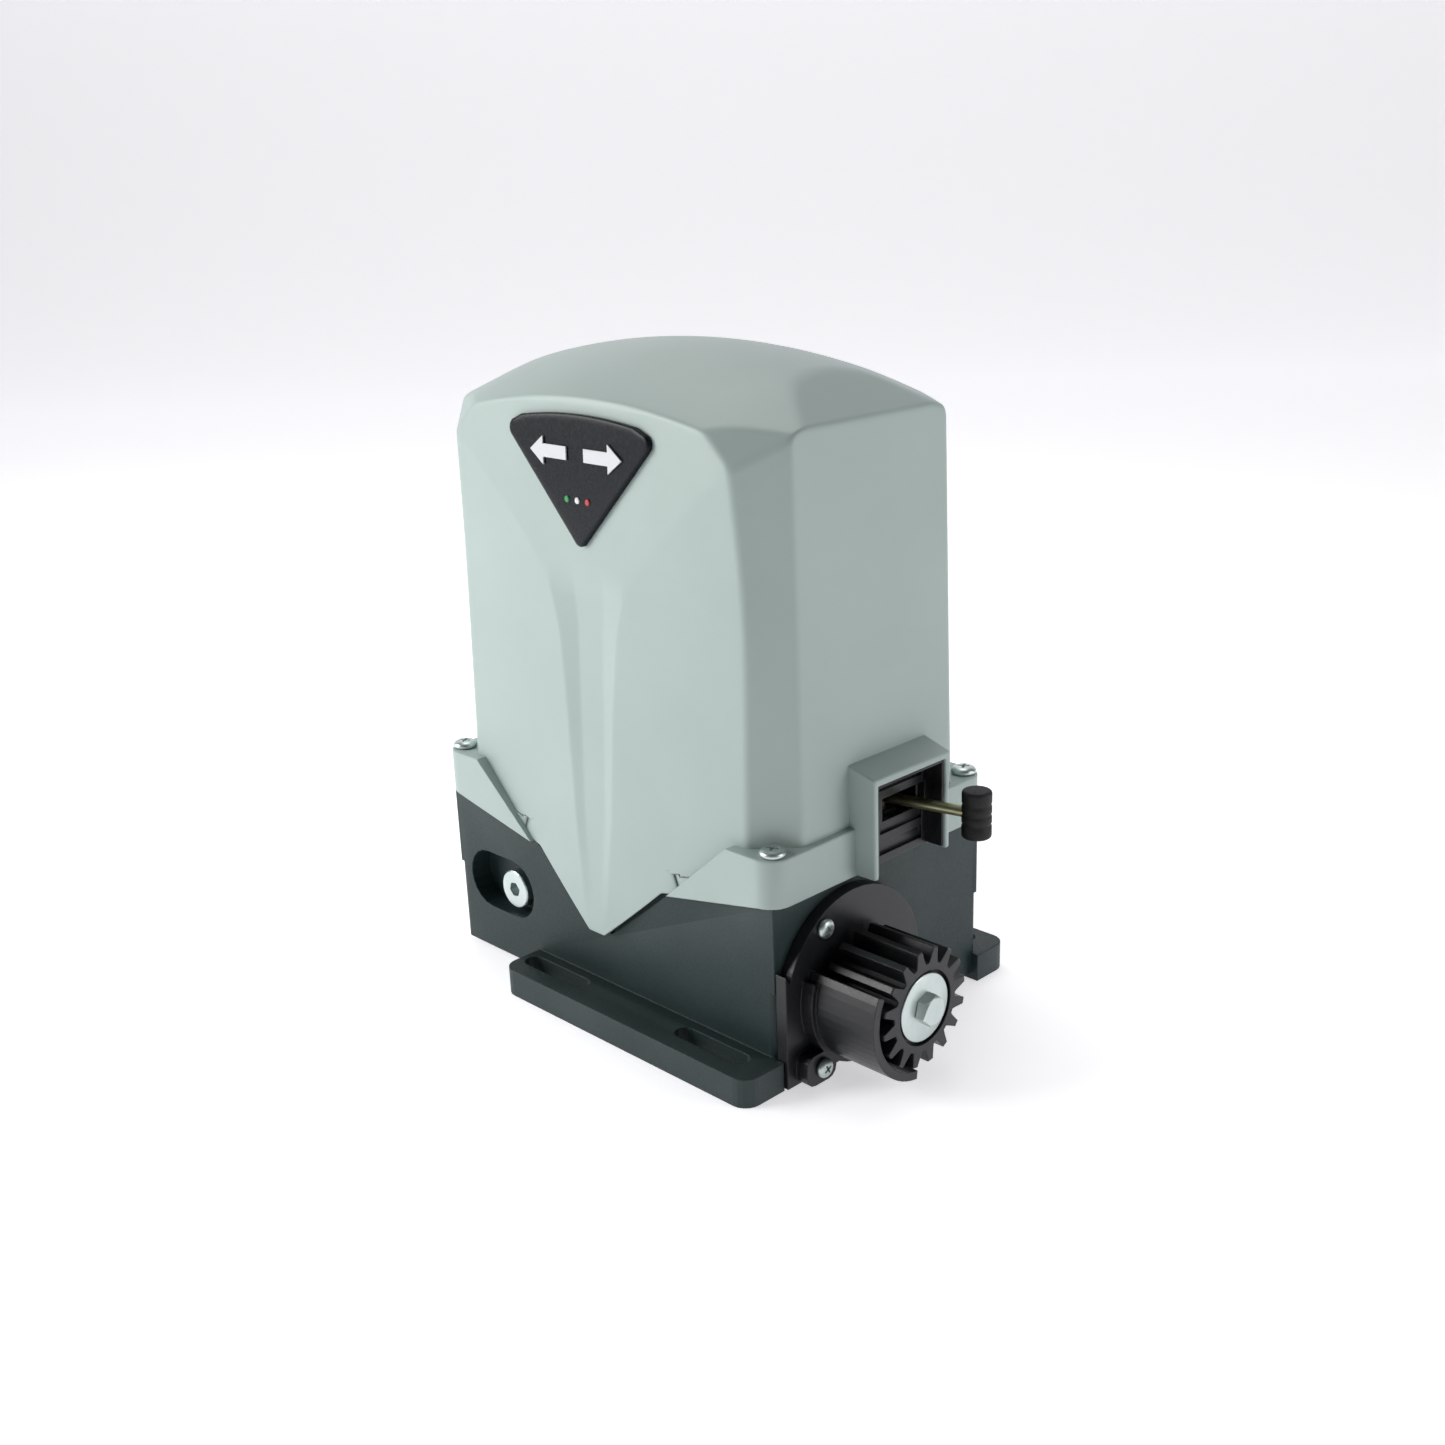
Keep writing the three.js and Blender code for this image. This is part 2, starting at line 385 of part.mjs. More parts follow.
node("rotor_bearing_top", bearing("z", 11, 6.3, WORM_X, WORM_Y, 168.4, 175.4), C.steel, 0.25, 1);
{
  const holes = [45, 135, 225, 315].map((a) => {
    const t = THREE.MathUtils.degToRad(a);
    return [WORM_X + 45.5 * Math.cos(t), WORM_Y + 45.5 * Math.sin(t)];
  });
  const drill = (s, r, z0, z1) => holes.reduce((q, [x, y]) => q.subtract(rod("z", r, x, y, z0, z1, 8)), s);
  let st = ring("z", MOTOR_R, 27.6, WORM_X, WORM_Y, 112, 160, 24);
  node("stator_core", drill(st, 2.6, 100, 170), 0x54595d, 0.55, 0.8);
  node("winding_lower", ring("z", 41, 29, WORM_X, WORM_Y, 101, 111.7, 20), C.copper, 0.5, 0.6);
  node("winding_upper", ring("z", 41, 29, WORM_X, WORM_Y, 160.3, 167, 20), C.copper, 0.5, 0.6);
  let sp = ring("z", MOTOR_R, 42, WORM_X, WORM_Y, 92.3, 111.7, 24);
  node("stator_spacer", drill(sp, 2.6, 90, 120), 0x8d9294, 0.5, 0.9);
  // end shield over the motor, with the top bearing seat
  let sh = lathe([[0, 176.4], [15, 176.4], [15, 172], [MOTOR_R, 170], [MOTOR_R, 160.3], [42, 160.3], [42, 167.3], [0, 167.3]], "z", [WORM_X, WORM_Y, 0], 24);
  sh = sh.subtract(rod("z", 11.3, WORM_X, WORM_Y, 160, 175.7, 24)).subtract(rod("z", 8, WORM_X, WORM_Y, 160, 190, 20));
  node("motor_end_shield", drill(sh, 2.6, 150, 190), 0x8d9294, 0.5, 0.9);
  holes.forEach(([x, y], i) => node("stator_bolt_" + "abcd"[i],
    rod("z", 2.2, x, y, 87, 172, 8).add(rod("z", 4, x, y, 171, 174.5, 6)), C.zinc, 0.35, 1));
}

// ---------- electrical bay ----------
{
  let s = prism([[-104, -44], [-92, -58], [-37, -58], [-37, 58], [-92, 58], [-104, 44]], "z", 86.6, 88.6).add(box(-39, -37, -58, 58, 88.4, 214));
  s = s.subtract(rod("z", 18, -70, 20, 80, 90, 16));
  for (const y of [-40, 0, 40]) s = s.subtract(rod("x", 8, y, 196, -45, -30, 12));
  node("board_bracket", s, 0xa8adb0, 0.45, 1);
  node("control_board", box(-45.6, -44, -54, 54, 100, 190).subtract(rod("x", 2.2, -49, 186, -50, -40, 10)).subtract(rod("x", 2.2, 49, 186, -50, -40, 10))
    .add(rod("x", 3, -49, 106, -44.2, -39.3, 10)).add(rod("x", 3, 49, 106, -44.2, -39.3, 10)).add(box(-50.6, -45, 3, 29, 123, 133)), C.board, 0.5, 0);
  let t = box(-58, -45.9, -50, 50, 102, 113);
  for (let i = 0; i < 10; i++) t = t.subtract(rod("x", 2.4, -45 + i * 10, 107.5, -60, -54, 6));
  node("terminal_block", t, 0x2c6f47, 0.5, 0);
  node("motor_relay", box(-61, -45.9, -44, -22, 132, 160), 0xe8e4d4, 0.5, 0);
  node("mains_fuse", rod("z", 3, -50, 46, 120, 142, 12).add(box(-52, -45.9, 43, 49, 122, 126)).add(box(-52, -45.9, 43, 49, 136, 140)), 0xd8d8c8, 0.3, 0);
  node("set_button", lathe([[0, -54.5], [3, -54.5], [3, -51.6], [0, -51.6]], "x", [0, 8, 128], 16), 0xb03030, 0.5, 0);
  node("learn_button", lathe([[0, -54.5], [3, -54.5], [3, -51.6], [0, -51.6]], "x", [0, 24, 128], 16), 0x2f5fb0, 0.5, 0);
  let tr = box(-98, -58, -52, -16, 89, 121).subtract(box(-90, -66, -60, 0, 97, 113));
  node("transformer_core", tr, 0x5a5f63, 0.55, 0.8);
  node("transformer_coil", box(-89.7, -66.3, -56, -12, 97.3, 112.7), C.copper, 0.5, 0.5);
  node("motor_capacitor", lathe([[0, 89], [17.5, 89], [18, 90], [18, 158], [16.5, 160], [3, 160], [3, 163], [0, 163]], "z", [-82, 40, 0], 20), 0xd5d8da, 0.4, 0.2);
  node("cable_grommet", lathe([[0, 2.2], [19, 2.2], [19, 2.7], [16, 2.7], [16, 8.3], [19, 8.3], [19, 10.5], [0, 10.5]], "z", [-70, 20, 0], 20)
    .subtract(rod("z", 9, -70, 20, 0, 20, 16)), C.rubber, 0.7, 0);
}

// ---------- release ----------
{
  // barrel with a hexagon socket, and the scroll cam on its inner end
  let s = lathe([[0, -68], [9.6, -68], [10.2, -67.4], [10.2, -62.5], [7.9, -62.5], [7.9, -52.6], [7, -52.6], [7, -44.5], [0, -44.5]],
    "y", [REL_X, 0, REL_Z], 28);
  s = s.subtract(prismY(hexagon(REL_X, REL_Z, 7, 10), -70, -62));
  const cam = [];
  for (let i = 0; i < 24; i++) {
    const a = (i / 24) * 2 * Math.PI; // angle from the rod side, growing against the turn
    const deg = (i / 24) * 360;
    const r = deg <= 105 ? 9 + (4 * Math.min(deg, 90)) / 90 : 13 - (4 * (deg - 105)) / 255;
    cam.push([REL_X + r * Math.cos(a), REL_Z + r * Math.sin(a)]);
  }
  s = s.add(prismY(cam, -54.4, -41.5));
  node("release_spindle", s, C.zinc, 0.35, 1);
  node("release_rod", lathe([[0, -65.5], [3.5, -65.5], [3.5, -58.4], [6, -58.4], [6, -55.4], [3.5, -55.4], [3.5, -10], [2.6, -8], [0, -8]], "x", [0, -47, REL_Z], 16), C.steel, 0.35, 1);
}

// ---------- limit switch ----------
{
  let s = box(82, 95.5, -8, 30, 98, 126);
  s = s.add(box(95, 107, 3, 19, 119, 123)).add(box(95, 107, 3, 19, 101, 105));
  s = s.add(box(83, 93, -8, -2, 92.3, 99)).add(box(83, 93, 24, 30, 92.3, 99));
  node("limit_switch_body", s, C.black, 0.5, 0);
  // bezel that fills the opening of the housing, stepped toward the lever
  let b = box(113.2, 117.4, -17.4, 28.9, 87.2, 129.6);
  b = b.subtract(box(115.6, 120, -13.5, 25, 91, 126.2));
  b = b.subtract(box(112, 120, -1, 29.5 - 1.2, 106, 118).intersect(box(112, 120, -1, 27, 106, 118)));
  const frame = box(115.4, 117.2, -8.5, 27.4 - 5.4 + 8, 97, 122).intersect(box(115.4, 117.2, -8.5, 25.3, 97, 122))
    .subtract(box(112, 120, -4.5, 27, 101, 118));
  b = b.add(frame.intersect(box(110, 120, -8.5, 25.3, 97, 122)));
  node("limit_bezel", b, C.black, 0.4, 0);
  const dir = [Math.cos(LIM_REST), Math.sin(LIM_REST)];
  let r = rod("z", 5, LIM_X, LIM_Y, 105.4, 118.6, 20);
  const g = geometryOf(rod("x", 2.6, 0, 0, 2, 51.2, 16));
  g.rotateZ(LIM_REST); g.translate(LIM_X, LIM_Y, LIM_Z);
  r = r.add(solid(g));
  // upright pin at the far end that carries the roller
  const kx = LIM_X + 51.2 * dir[0], ky = LIM_Y + 51.2 * dir[1];
  r = r.add(rod("z", 2.2, kx, ky, 103, 121.6, 14));
  node("limit_lever", r, C.brass, 0.35, 1);
  // rubber cap the gate's striker pushes on
  let cap = lathe([[0, 101], [5.8, 101], [6.8, 102], [6.8, 122.4], [5.8, 123.4], [0, 123.4]], "z", [kx, ky, 0], 24);
  cap = cap.subtract(rod("z", 2.5, kx, ky, 102.6, 121.9, 14));
  const bore = geometryOf(rod("x", 2.9, 0, 0, 40, 53, 16));
  bore.rotateZ(LIM_REST); bore.translate(LIM_X, LIM_Y, LIM_Z);
  cap = cap.subtract(solid(bore));
  node("lever_cap", cap, C.rubber, 0.6, 0);
}

// ---------- cover ----------
const crease = (z) => { // half-width of the flat band of the long faces at height z
  const t = [[30, 5], [60, 8.5], [100, 13], [150, 16], [190, 20], [204, 24], [214, 29], [224, 36], [238, 50], [255, 69], [275, 93], [320, 150]];
  for (let i = 0; i + 1 < t.length; i++) if (z <= t[i + 1][0]) return t[i][1] + ((t[i + 1][1] - t[i][1]) * (z - t[i][0])) / (t[i + 1][0] - t[i][0]);
  return 150;
};
const faceY = (z) => -(76.5 - 0.034 * (z - 42)); // flat band of the badge face
const sideX = (z) => 114 - 0.018 * (z - 86);
const PROW = 0.065;
{
  const Z0 = 30, Z1 = 330;
  // drafted block
  let s = hull([[-1, -1], [1, -1], [1, 1], [-1, 1]].flatMap(([a, b]) => [Z0, Z1].map((z) => [a * sideX(z), -b * faceY(z), z])));
  // upright corner chamfers
  for (const [sx, sy] of [[1, -1], [1, 1], [-1, 1], [-1, -1]]) {
    const n = [sx * Math.SQRT1_2, sy * Math.SQRT1_2];
    const d0 = 116.7, slope = 0.0187;
    s = s.subtract(beyond([n[0] * d0, n[1] * d0, 109], [n[0], n[1], slope]));
  }
  // domed top
  const crown = (u, v) => HOOD_TOP - 8 * (u / 77) ** 2 - 19 * (v / 68) ** 2;
  const dome = [];
  for (let i = -5; i <= 5; i++) for (let j = -5; j <= 5; j++) dome.push([i * 26, j * 16.4, crown(i * 26, j * 16.4)]);
  for (const [x, y] of [[-130, -82], [130, -82], [130, 82], [-130, 82]]) dome.push([x, y, 0]);
  s = s.intersect(hull(dome));
  // sloping shoulders over the short faces, and bent facets over the corners
  for (const sx of [-1, 1]) {
    s = s.subtract(beyond([sx * 82, 0, 305.5], [sx * 0.5, 0, 0.84]));
    for (const sy of [-1, 1]) {
      s = s.subtract(beyond([sx * 75, sy * 67.6, 290.5], [sx * 0.449, sy * 0.738, 0.503]));
      s = s.subtract(beyond([sx * 80, sy * 34, 302], [sx * 0.30, sy * 0.31, 0.90]));
    }
  }
  // receding side panels of the two long faces
  const zs = [29, 60, 100, 150, 190, 204, 214, 224, 238, 255, 275.5];
  const panel = loft(zs.map((z) => {
    const c = crease(z), f = faceY(z);
    return [[c, f, z], [128, f + PROW * (128 - c), z], [128, -95, z], [c, -95, z]];
  }));
  s = s.subtract(both(panel.add(moved(panel, mirrorX))));
  // shallow tapering channel down the middle of the flat band
  const ch = [[52, -0.15, 0.45], [70, 0.5, 0.5], [105, 1.3, 0.55], [150, 1.9, 0.5], [190, 2.4, 0.42], [206, 2.4, 0.4], [222, -0.15, 0.4]];
  const channel = loft(ch.map(([z, d, q]) => {
    const c = crease(Math.min(z, 206)) - 0.05, f = faceY(z);
    return [[-c, f, z], [-c * q, f + d, z], [c * q, f + d, z], [c, f, z], [c, -95, z], [-c, -95, z]];
  }));
  s = s.subtract(both(channel));
  s = s.subtract(box(-140, 140, -100, 100, 20, COVER_Z0).intersect(box(-140, 140, -68, 68, 20, COVER_Z0))); // only skirts go below the rim
  // band with the four screw lugs
  let band = prism(rounded(-117, 117, -75, 75, 11, 4), "z", 60, LUG_Z1);
  const wedge = prismY([[-90, 110], [-46.5, 72.5], [-46.5, 50], [46.5, 50], [46.5, 72.5], [90, 110]], -90, -40);
  band = band.subtract(both(wedge)).subtract(box(-120, 120, -71.9, 71.9, 50, COVER_Z0));
  s = s.add(band);
  // limit housing on the +X face
  const hs = hull([[112, -21.4, 86.5], [112, 32.9, 86.5], [112, -21.4, 138.5], [112, 32.9, 138.5], [128, -20.6, 86.5], [128, 32.1, 86.5], [128, -20.6, 134], [128, 32.1, 134]]);
  s = s.add(hs);
  // skirt edge on the long faces
  const below = [[-140, 20], [140, 20], [140, COVER_Z0], [108, COVER_Z0], [V_HALF, V_SHOULDER], [5.4, V_APEX], [-5.4, V_APEX], [-V_HALF, V_SHOULDER], [-108, COVER_Z0], [-140, COVER_Z0]];
  s = s.subtract(prismY(below, -100, 100));
  // inside
  const ix = (z) => 110.6 - 0.018 * (z - 86), iy = (z) => 66.2 - 0.02 * (z - 86);
  let cav = hull([[-1, -1], [1, -1], [1, 1], [-1, 1]].flatMap(([a, b]) => [80, 330].map((z) => [a * ix(z), b * iy(z), z])));
  for (const [sx, sy] of [[1, -1], [1, 1], [-1, 1], [-1, -1]]) {
    const n = [sx * Math.SQRT1_2, sy * Math.SQRT1_2];
    cav = cav.subtract(beyond([n[0] * 112.8, n[1] * 112.8, 109], [n[0], n[1], 0.0187]));
  }
  const inner = dome.map(([x, y, z]) => [x, y, z > 1 ? z - 3.4 : z]);
  cav = cav.intersect(hull(inner));
  for (const sx of [-1, 1]) {
    cav = cav.subtract(beyond([sx * 80, 0, 302], [sx * 0.5, 0, 0.84]));
    for (const sy of [-1, 1]) {
      cav = cav.subtract(beyond([sx * 73.5, sy * 65, 288.5], [sx * 0.449, sy * 0.738, 0.503]));
      cav = cav.subtract(beyond([sx * 79, sy * 33, 298.8], [sx * 0.30, sy * 0.31, 0.90]));
    }
  }
  s = s.subtract(cav.subtract(box(-150, 150, -100, 100, 60, COVER_Z0)));
  // below the rim the skirts hang outside the gearcase; the pointed middle sits in its relief
  s = s.subtract(box(-150, 150, -72.3, 72.3, 20, COVER_Z0).subtract(both(prismY(vPocket(0.02), -80, -70.2))));
  // window and open front of the limit housing
  s = s.subtract(box(100, 140, -17.8, 29.3, 70, 130.6));
  // screw holes
  for (const sx of [-1, 1]) for (const sy of [-1, 1]) s = s.subtract(rod("z", 2.9, sx * SCREW_X, sy * SCREW_Y, 80, 130, 8));
  for (const sx of [-1, 1]) for (const sy of [-1, 1]) s = s.subtract(rod("z", 6.4, sx * SCREW_X, sy * SCREW_Y, LUG_Z1, 116, 16));
  node("cover_shell", s, C.cover, 0.45, 0);
  for (const [n, sx, sy] of [["front_right", 1, -1], ["rear_right", 1, 1], ["rear_left", -1, 1], ["front_left", -1, -1]])
    node("cover_screw_" + n, panScrew("z", sx * SCREW_X, sy * SCREW_Y, LUG_Z1 + GAP, 6, 3.4, 2.4, 40, 1), C.zinc, 0.3, 1);
}

// ---------- badge ----------
{
  // rounded shield with an arched top edge, standing on the flat band of the face
  const T = Math.atan(0.034);
  const place = (s) => { // local (u, up along the face, out) to the face at height 284
    const m = new THREE.Matrix4().makeBasis(new THREE.Vector3(1, 0, 0), new THREE.Vector3(0, Math.sin(T), Math.cos(T)), new THREE.Vector3(0, -Math.cos(T), Math.sin(T)));
    m.setPosition(0, faceY(284) - 0.3, 284);
    return moved(s, m);
  };
  const outline = [];
  outline.push(...arc(43, -4.5, 4.5, -35, 75, 5));
  for (let i = 1; i < 8; i++) { const u = 44 - i * 11; outline.push([u, 5 - (3.6 * u * u) / (44 * 44) + 0]); }
  outline.push(...arc(-43, -4.5, 4.5, 105, 215, 5));
  outline.push(...arc(0, -50, 4, 215, 325, 5));
  let s = prism(outline, "z", 0, 2.4);
  node("badge_plate", place(s), C.badge, 0.15, 0);
  // generic mark: two opposed arrows for the two ways the gate runs
  const arrow = (d) => prism([[d * 6, -9.5], [d * 22, -9.5], [d * 22, -6], [d * 31, -12.5], [d * 22, -19], [d * 22, -15.5], [d * 6, -15.5]].map(([a, b]) => [a, b]), "z", 2.7, 3.3);
  node("badge_arrow_right", place(arrow(1)), 0xd9dcdd, 0.35, 0);
  node("badge_arrow_left", place(moved(arrow(1), mirrorX)), 0xd9dcdd, 0.35, 0);
}
export default root;
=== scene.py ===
import json
import math

import bmesh
import bpy
import numpy as np
from mathutils import Matrix, Vector

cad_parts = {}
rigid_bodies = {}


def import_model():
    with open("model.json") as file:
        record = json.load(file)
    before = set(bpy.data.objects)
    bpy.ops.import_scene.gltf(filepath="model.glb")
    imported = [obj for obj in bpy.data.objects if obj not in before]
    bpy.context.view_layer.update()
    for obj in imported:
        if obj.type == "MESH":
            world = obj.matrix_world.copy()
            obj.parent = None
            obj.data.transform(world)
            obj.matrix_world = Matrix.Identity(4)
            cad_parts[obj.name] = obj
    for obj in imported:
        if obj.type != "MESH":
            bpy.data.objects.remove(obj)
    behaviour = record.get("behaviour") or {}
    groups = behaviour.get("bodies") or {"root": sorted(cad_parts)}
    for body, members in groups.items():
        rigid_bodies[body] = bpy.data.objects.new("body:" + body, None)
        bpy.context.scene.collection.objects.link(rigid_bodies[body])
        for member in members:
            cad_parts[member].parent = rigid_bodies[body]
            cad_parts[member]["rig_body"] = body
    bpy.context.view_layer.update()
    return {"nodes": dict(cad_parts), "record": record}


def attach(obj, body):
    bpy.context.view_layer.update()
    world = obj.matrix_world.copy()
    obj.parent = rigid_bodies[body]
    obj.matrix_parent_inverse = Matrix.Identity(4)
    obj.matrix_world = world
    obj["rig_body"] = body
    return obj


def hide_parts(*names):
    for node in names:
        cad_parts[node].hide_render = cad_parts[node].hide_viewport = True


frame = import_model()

NODES = frame["nodes"]
BODY = {n: o["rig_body"] for n, o in NODES.items()}
SLOT = {r["node"]: r["material_slot"] for r in frame["record"]["subparts"]}
MM = 0.001

# ------------------------------------------------------------------ materials


def material(
    name, base, rough, metal=0.0, vary=0.06, grain=900.0, bump=0.05, rough_vary=0.08,
    coat=0.0, coat_rough=0.2, spec=0.5, edge=0.0006, wear=None, brushed=None, blotch=18.0,
):
    """A procedural surface: slow colour drift, fine grain in bump and roughness, rounded edges, optional edge wear."""
    m = bpy.data.materials.new(name)
    m.use_nodes = True
    t = m.node_tree
    t.nodes.clear()
    new, link = t.nodes.new, t.links.new
    out = new("ShaderNodeOutputMaterial")
    b = new("ShaderNodeBsdfPrincipled")
    link(b.outputs["BSDF"], out.inputs["Surface"])
    b.inputs["Metallic"].default_value = metal
    b.inputs["Specular IOR Level"].default_value = spec
    b.inputs["Coat Weight"].default_value = coat
    b.inputs["Coat Roughness"].default_value = coat_rough
    co = new("ShaderNodeTexCoord")
    slow = new("ShaderNodeTexNoise")
    slow.inputs["Scale"].default_value = blotch
    slow.inputs["Detail"].default_value = 4.0
    link(co.outputs["Object"], slow.inputs["Vector"])
    lo = [c * (1 - vary) for c in base]
    hi = [min(1.0, c * (1 + vary)) for c in base]
    ramp = new("ShaderNodeValToRGB")
    ramp.color_ramp.elements[0].position = 0.30
    ramp.color_ramp.elements[1].position = 0.70
    ramp.color_ramp.elements[0].color = (*lo, 1)
    ramp.color_ramp.elements[1].color = (*hi, 1)
    link(slow.outputs["Fac"], ramp.inputs["Fac"])
    colour = ramp.outputs["Color"]
    fine = new("ShaderNodeTexNoise")
    fine.inputs["Scale"].default_value = grain
    fine.inputs["Detail"].default_value = 3.0
    if brushed:
        scale = new("ShaderNodeMapping")
        scale.inputs["Scale"].default_value = brushed
        link(co.outputs["Object"], scale.inputs["Vector"])
        link(scale.outputs["Vector"], fine.inputs["Vector"])
    else:
        link(co.outputs["Object"], fine.inputs["Vector"])
    if wear:
        geo = new("ShaderNodeNewGeometry")
        sharp = new("ShaderNodeMapRange")
        sharp.inputs["From Min"].default_value = 0.54
        sharp.inputs["From Max"].default_value = 0.62
        link(geo.outputs["Pointiness"], sharp.inputs["Value"])
        cut = new("ShaderNodeMath")
        cut.operation = "MULTIPLY"
        link(sharp.outputs["Result"], cut.inputs[0])
        link(slow.outputs["Fac"], cut.inputs[1])
        mix = new("ShaderNodeMix")
        mix.data_type = "RGBA"
        link(cut.outputs["Value"], mix.inputs["Factor"])
        link(colour, mix.inputs["A"])
        mix.inputs["B"].default_value = (*wear, 1)
        colour = mix.outputs["Result"]
    link(colour, b.inputs["Base Color"])
    rr = new("ShaderNodeMapRange")
    rr.inputs["From Min"].default_value = 0.25
    rr.inputs["From Max"].default_value = 0.75
    rr.inputs["To Min"].default_value = max(0.04, rough - rough_vary)
    rr.inputs["To Max"].default_value = min(1.0, rough + rough_vary)
    link(fine.outputs["Fac"], rr.inputs["Value"])
    link(rr.outputs["Result"], b.inputs["Roughness"])
    bevel = new("ShaderNodeBevel")
    bevel.samples = 4
    bevel.inputs["Radius"].default_value = edge
    bn = new("ShaderNodeBump")
    bn.inputs["Strength"].default_value = min(1.0, bump * 4)
    bn.inputs["Distance"].default_value = 0.00012
    link(fine.outputs["Fac"], bn.inputs["Height"])
    link(bevel.outputs["Normal"], bn.inputs["Normal"])
    link(bn.outputs["Normal"], b.inputs["Normal"])
    return m


M = {
    "cover_plastic": material("cover_plastic", (0.400, 0.487, 0.458), 0.42, vary=0.025, grain=1400, bump=0.05, rough_vary=0.05, edge=0.0009),
    "casting": material("casting", (0.0115, 0.026, 0.026), 0.50, metal=0.0, spec=0.36, vary=0.14, grain=1100, bump=0.16, rough_vary=0.10, edge=0.0010, wear=(0.07, 0.09, 0.09)),
    "black_nylon": material("black_nylon", (0.0075, 0.0085, 0.0095), 0.36, vary=0.12, grain=1300, bump=0.07, rough_vary=0.07, edge=0.0007, wear=(0.03, 0.032, 0.034)),
    "zinc_plate": material("zinc_plate", (0.58, 0.65, 0.63), 0.38, metal=1.0, vary=0.05, grain=900, bump=0.02, rough_vary=0.05, edge=0.0003, blotch=140),
    "machined_steel": material("machined_steel", (0.46, 0.48, 0.50), 0.30, metal=1.0, vary=0.05, grain=500, bump=0.05, edge=0.0003, brushed=(8, 1, 1)),
    "yellow_zinc": material("yellow_zinc", (0.34, 0.33, 0.20), 0.36, metal=1.0, vary=0.18, grain=600, bump=0.05, edge=0.0003, blotch=120),
    "bronze": material("bronze", (0.46, 0.27, 0.11), 0.36, metal=1.0, vary=0.10, grain=500, bump=0.06, edge=0.0003, blotch=90),
    "copper": material("copper", (0.50, 0.20, 0.08), 0.38, metal=0.8, vary=0.12, grain=900, bump=0.25, edge=0.0006, brushed=(0.3, 0.3, 5)),
    "laminations": material("laminations", (0.16, 0.17, 0.18), 0.48, metal=0.9, vary=0.10, grain=500, bump=0.25, edge=0.0004, brushed=(0.2, 0.2, 5)),
    "die_cast": material("die_cast", (0.42, 0.44, 0.45), 0.46, metal=1.0, vary=0.07, grain=800, bump=0.14, edge=0.0006),
    "rubber": material("rubber", (0.008, 0.008, 0.009), 0.58, vary=0.15, grain=1000, bump=0.10, spec=0.35, edge=0.0006),
    "board_green": material("board_green", (0.012, 0.11, 0.042), 0.34, vary=0.12, grain=900, bump=0.04, coat=0.3, edge=0.0002, blotch=160),
    "relay_cream": material("relay_cream", (0.72, 0.68, 0.56), 0.42, vary=0.04, grain=1100, bump=0.05, edge=0.0004),
    "capacitor_white": material("capacitor_white", (0.66, 0.67, 0.69), 0.38, vary=0.04, grain=900, bump=0.04, edge=0.0006),
    "gasket_fibre": material("gasket_fibre", (0.16, 0.085, 0.042), 0.80, vary=0.20, grain=700, bump=0.25, edge=0.0002),
    "button_red": material("button_red", (0.46, 0.03, 0.03), 0.28, vary=0.06, grain=900, bump=0.03, edge=0.0003),
    "button_blue": material("button_blue", (0.02, 0.09, 0.40), 0.28, vary=0.06, grain=900, bump=0.03, edge=0.0003),
    "badge_gloss": material("badge_gloss", (0.006, 0.008, 0.011), 0.27, vary=0.10, grain=500, bump=0.01, rough_vary=0.04, coat=0.0, coat_rough=0.25, spec=0.16, edge=0.0005),
    "badge_print": material("badge_print", (0.66, 0.68, 0.70), 0.40, vary=0.03, grain=900, bump=0.03, edge=0.0002),
}
DOT = {
    "green": material("dot_green", (0.03, 0.30, 0.09), 0.30, vary=0.05, bump=0.02, edge=0.0002),
    "white": material("dot_white", (0.75, 0.75, 0.75), 0.30, vary=0.03, bump=0.02, edge=0.0002),
    "red": material("dot_red", (0.50, 0.03, 0.03), 0.30, vary=0.05, bump=0.02, edge=0.0002),
}

for n, o in NODES.items():
    o.data.materials.clear()
    o.data.materials.append(M[SLOT[n]])

for n, width in (("base_casting", 0.8), ("pinion_guard", 0.7), ("limit_bezel", 0.5), ("release_barrel", 0.4), ("release_spindle", 0.3)):
    if n in NODES:
        mod = NODES[n].modifiers.new("edges", "BEVEL")
        mod.width = width * MM
        mod.segments = 2
        mod.limit_method = "ANGLE"
        mod.angle_limit = math.radians(50)
        mod.use_clamp_overlap = True

# ------------------------------------------------------------------ mesh helpers


def obj(name, verts, faces, mat, body, slot, replaces=(), smooth=True, sharp=32.0):
    """A mesh in millimetres, in the row frame, as a piece that rides on a body."""
    me = bpy.data.meshes.new(name)
    me.from_pydata([tuple(c * MM for c in v) for v in verts], [], [tuple(f) for f in faces])
    bm = bmesh.new()
    bm.from_mesh(me)
    bmesh.ops.remove_doubles(bm, verts=bm.verts, dist=1e-7)
    bmesh.ops.recalc_face_normals(bm, faces=bm.faces)
    bm.to_mesh(me)
    bm.free()
    return finish_piece(name, me, mat, body, replaces, smooth, sharp)


def finish_piece(name, me, mat, body, replaces=(), smooth=True, sharp=32.0):
    o = bpy.data.objects.new(name, me)
    bpy.context.scene.collection.objects.link(o)
    me.materials.clear()
    me.materials.append(mat)
    if smooth:
        me.shade_smooth()
        me.set_sharp_from_angle(angle=math.radians(sharp))
    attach(o, body)
    if replaces:
        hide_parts(*replaces)
    return o


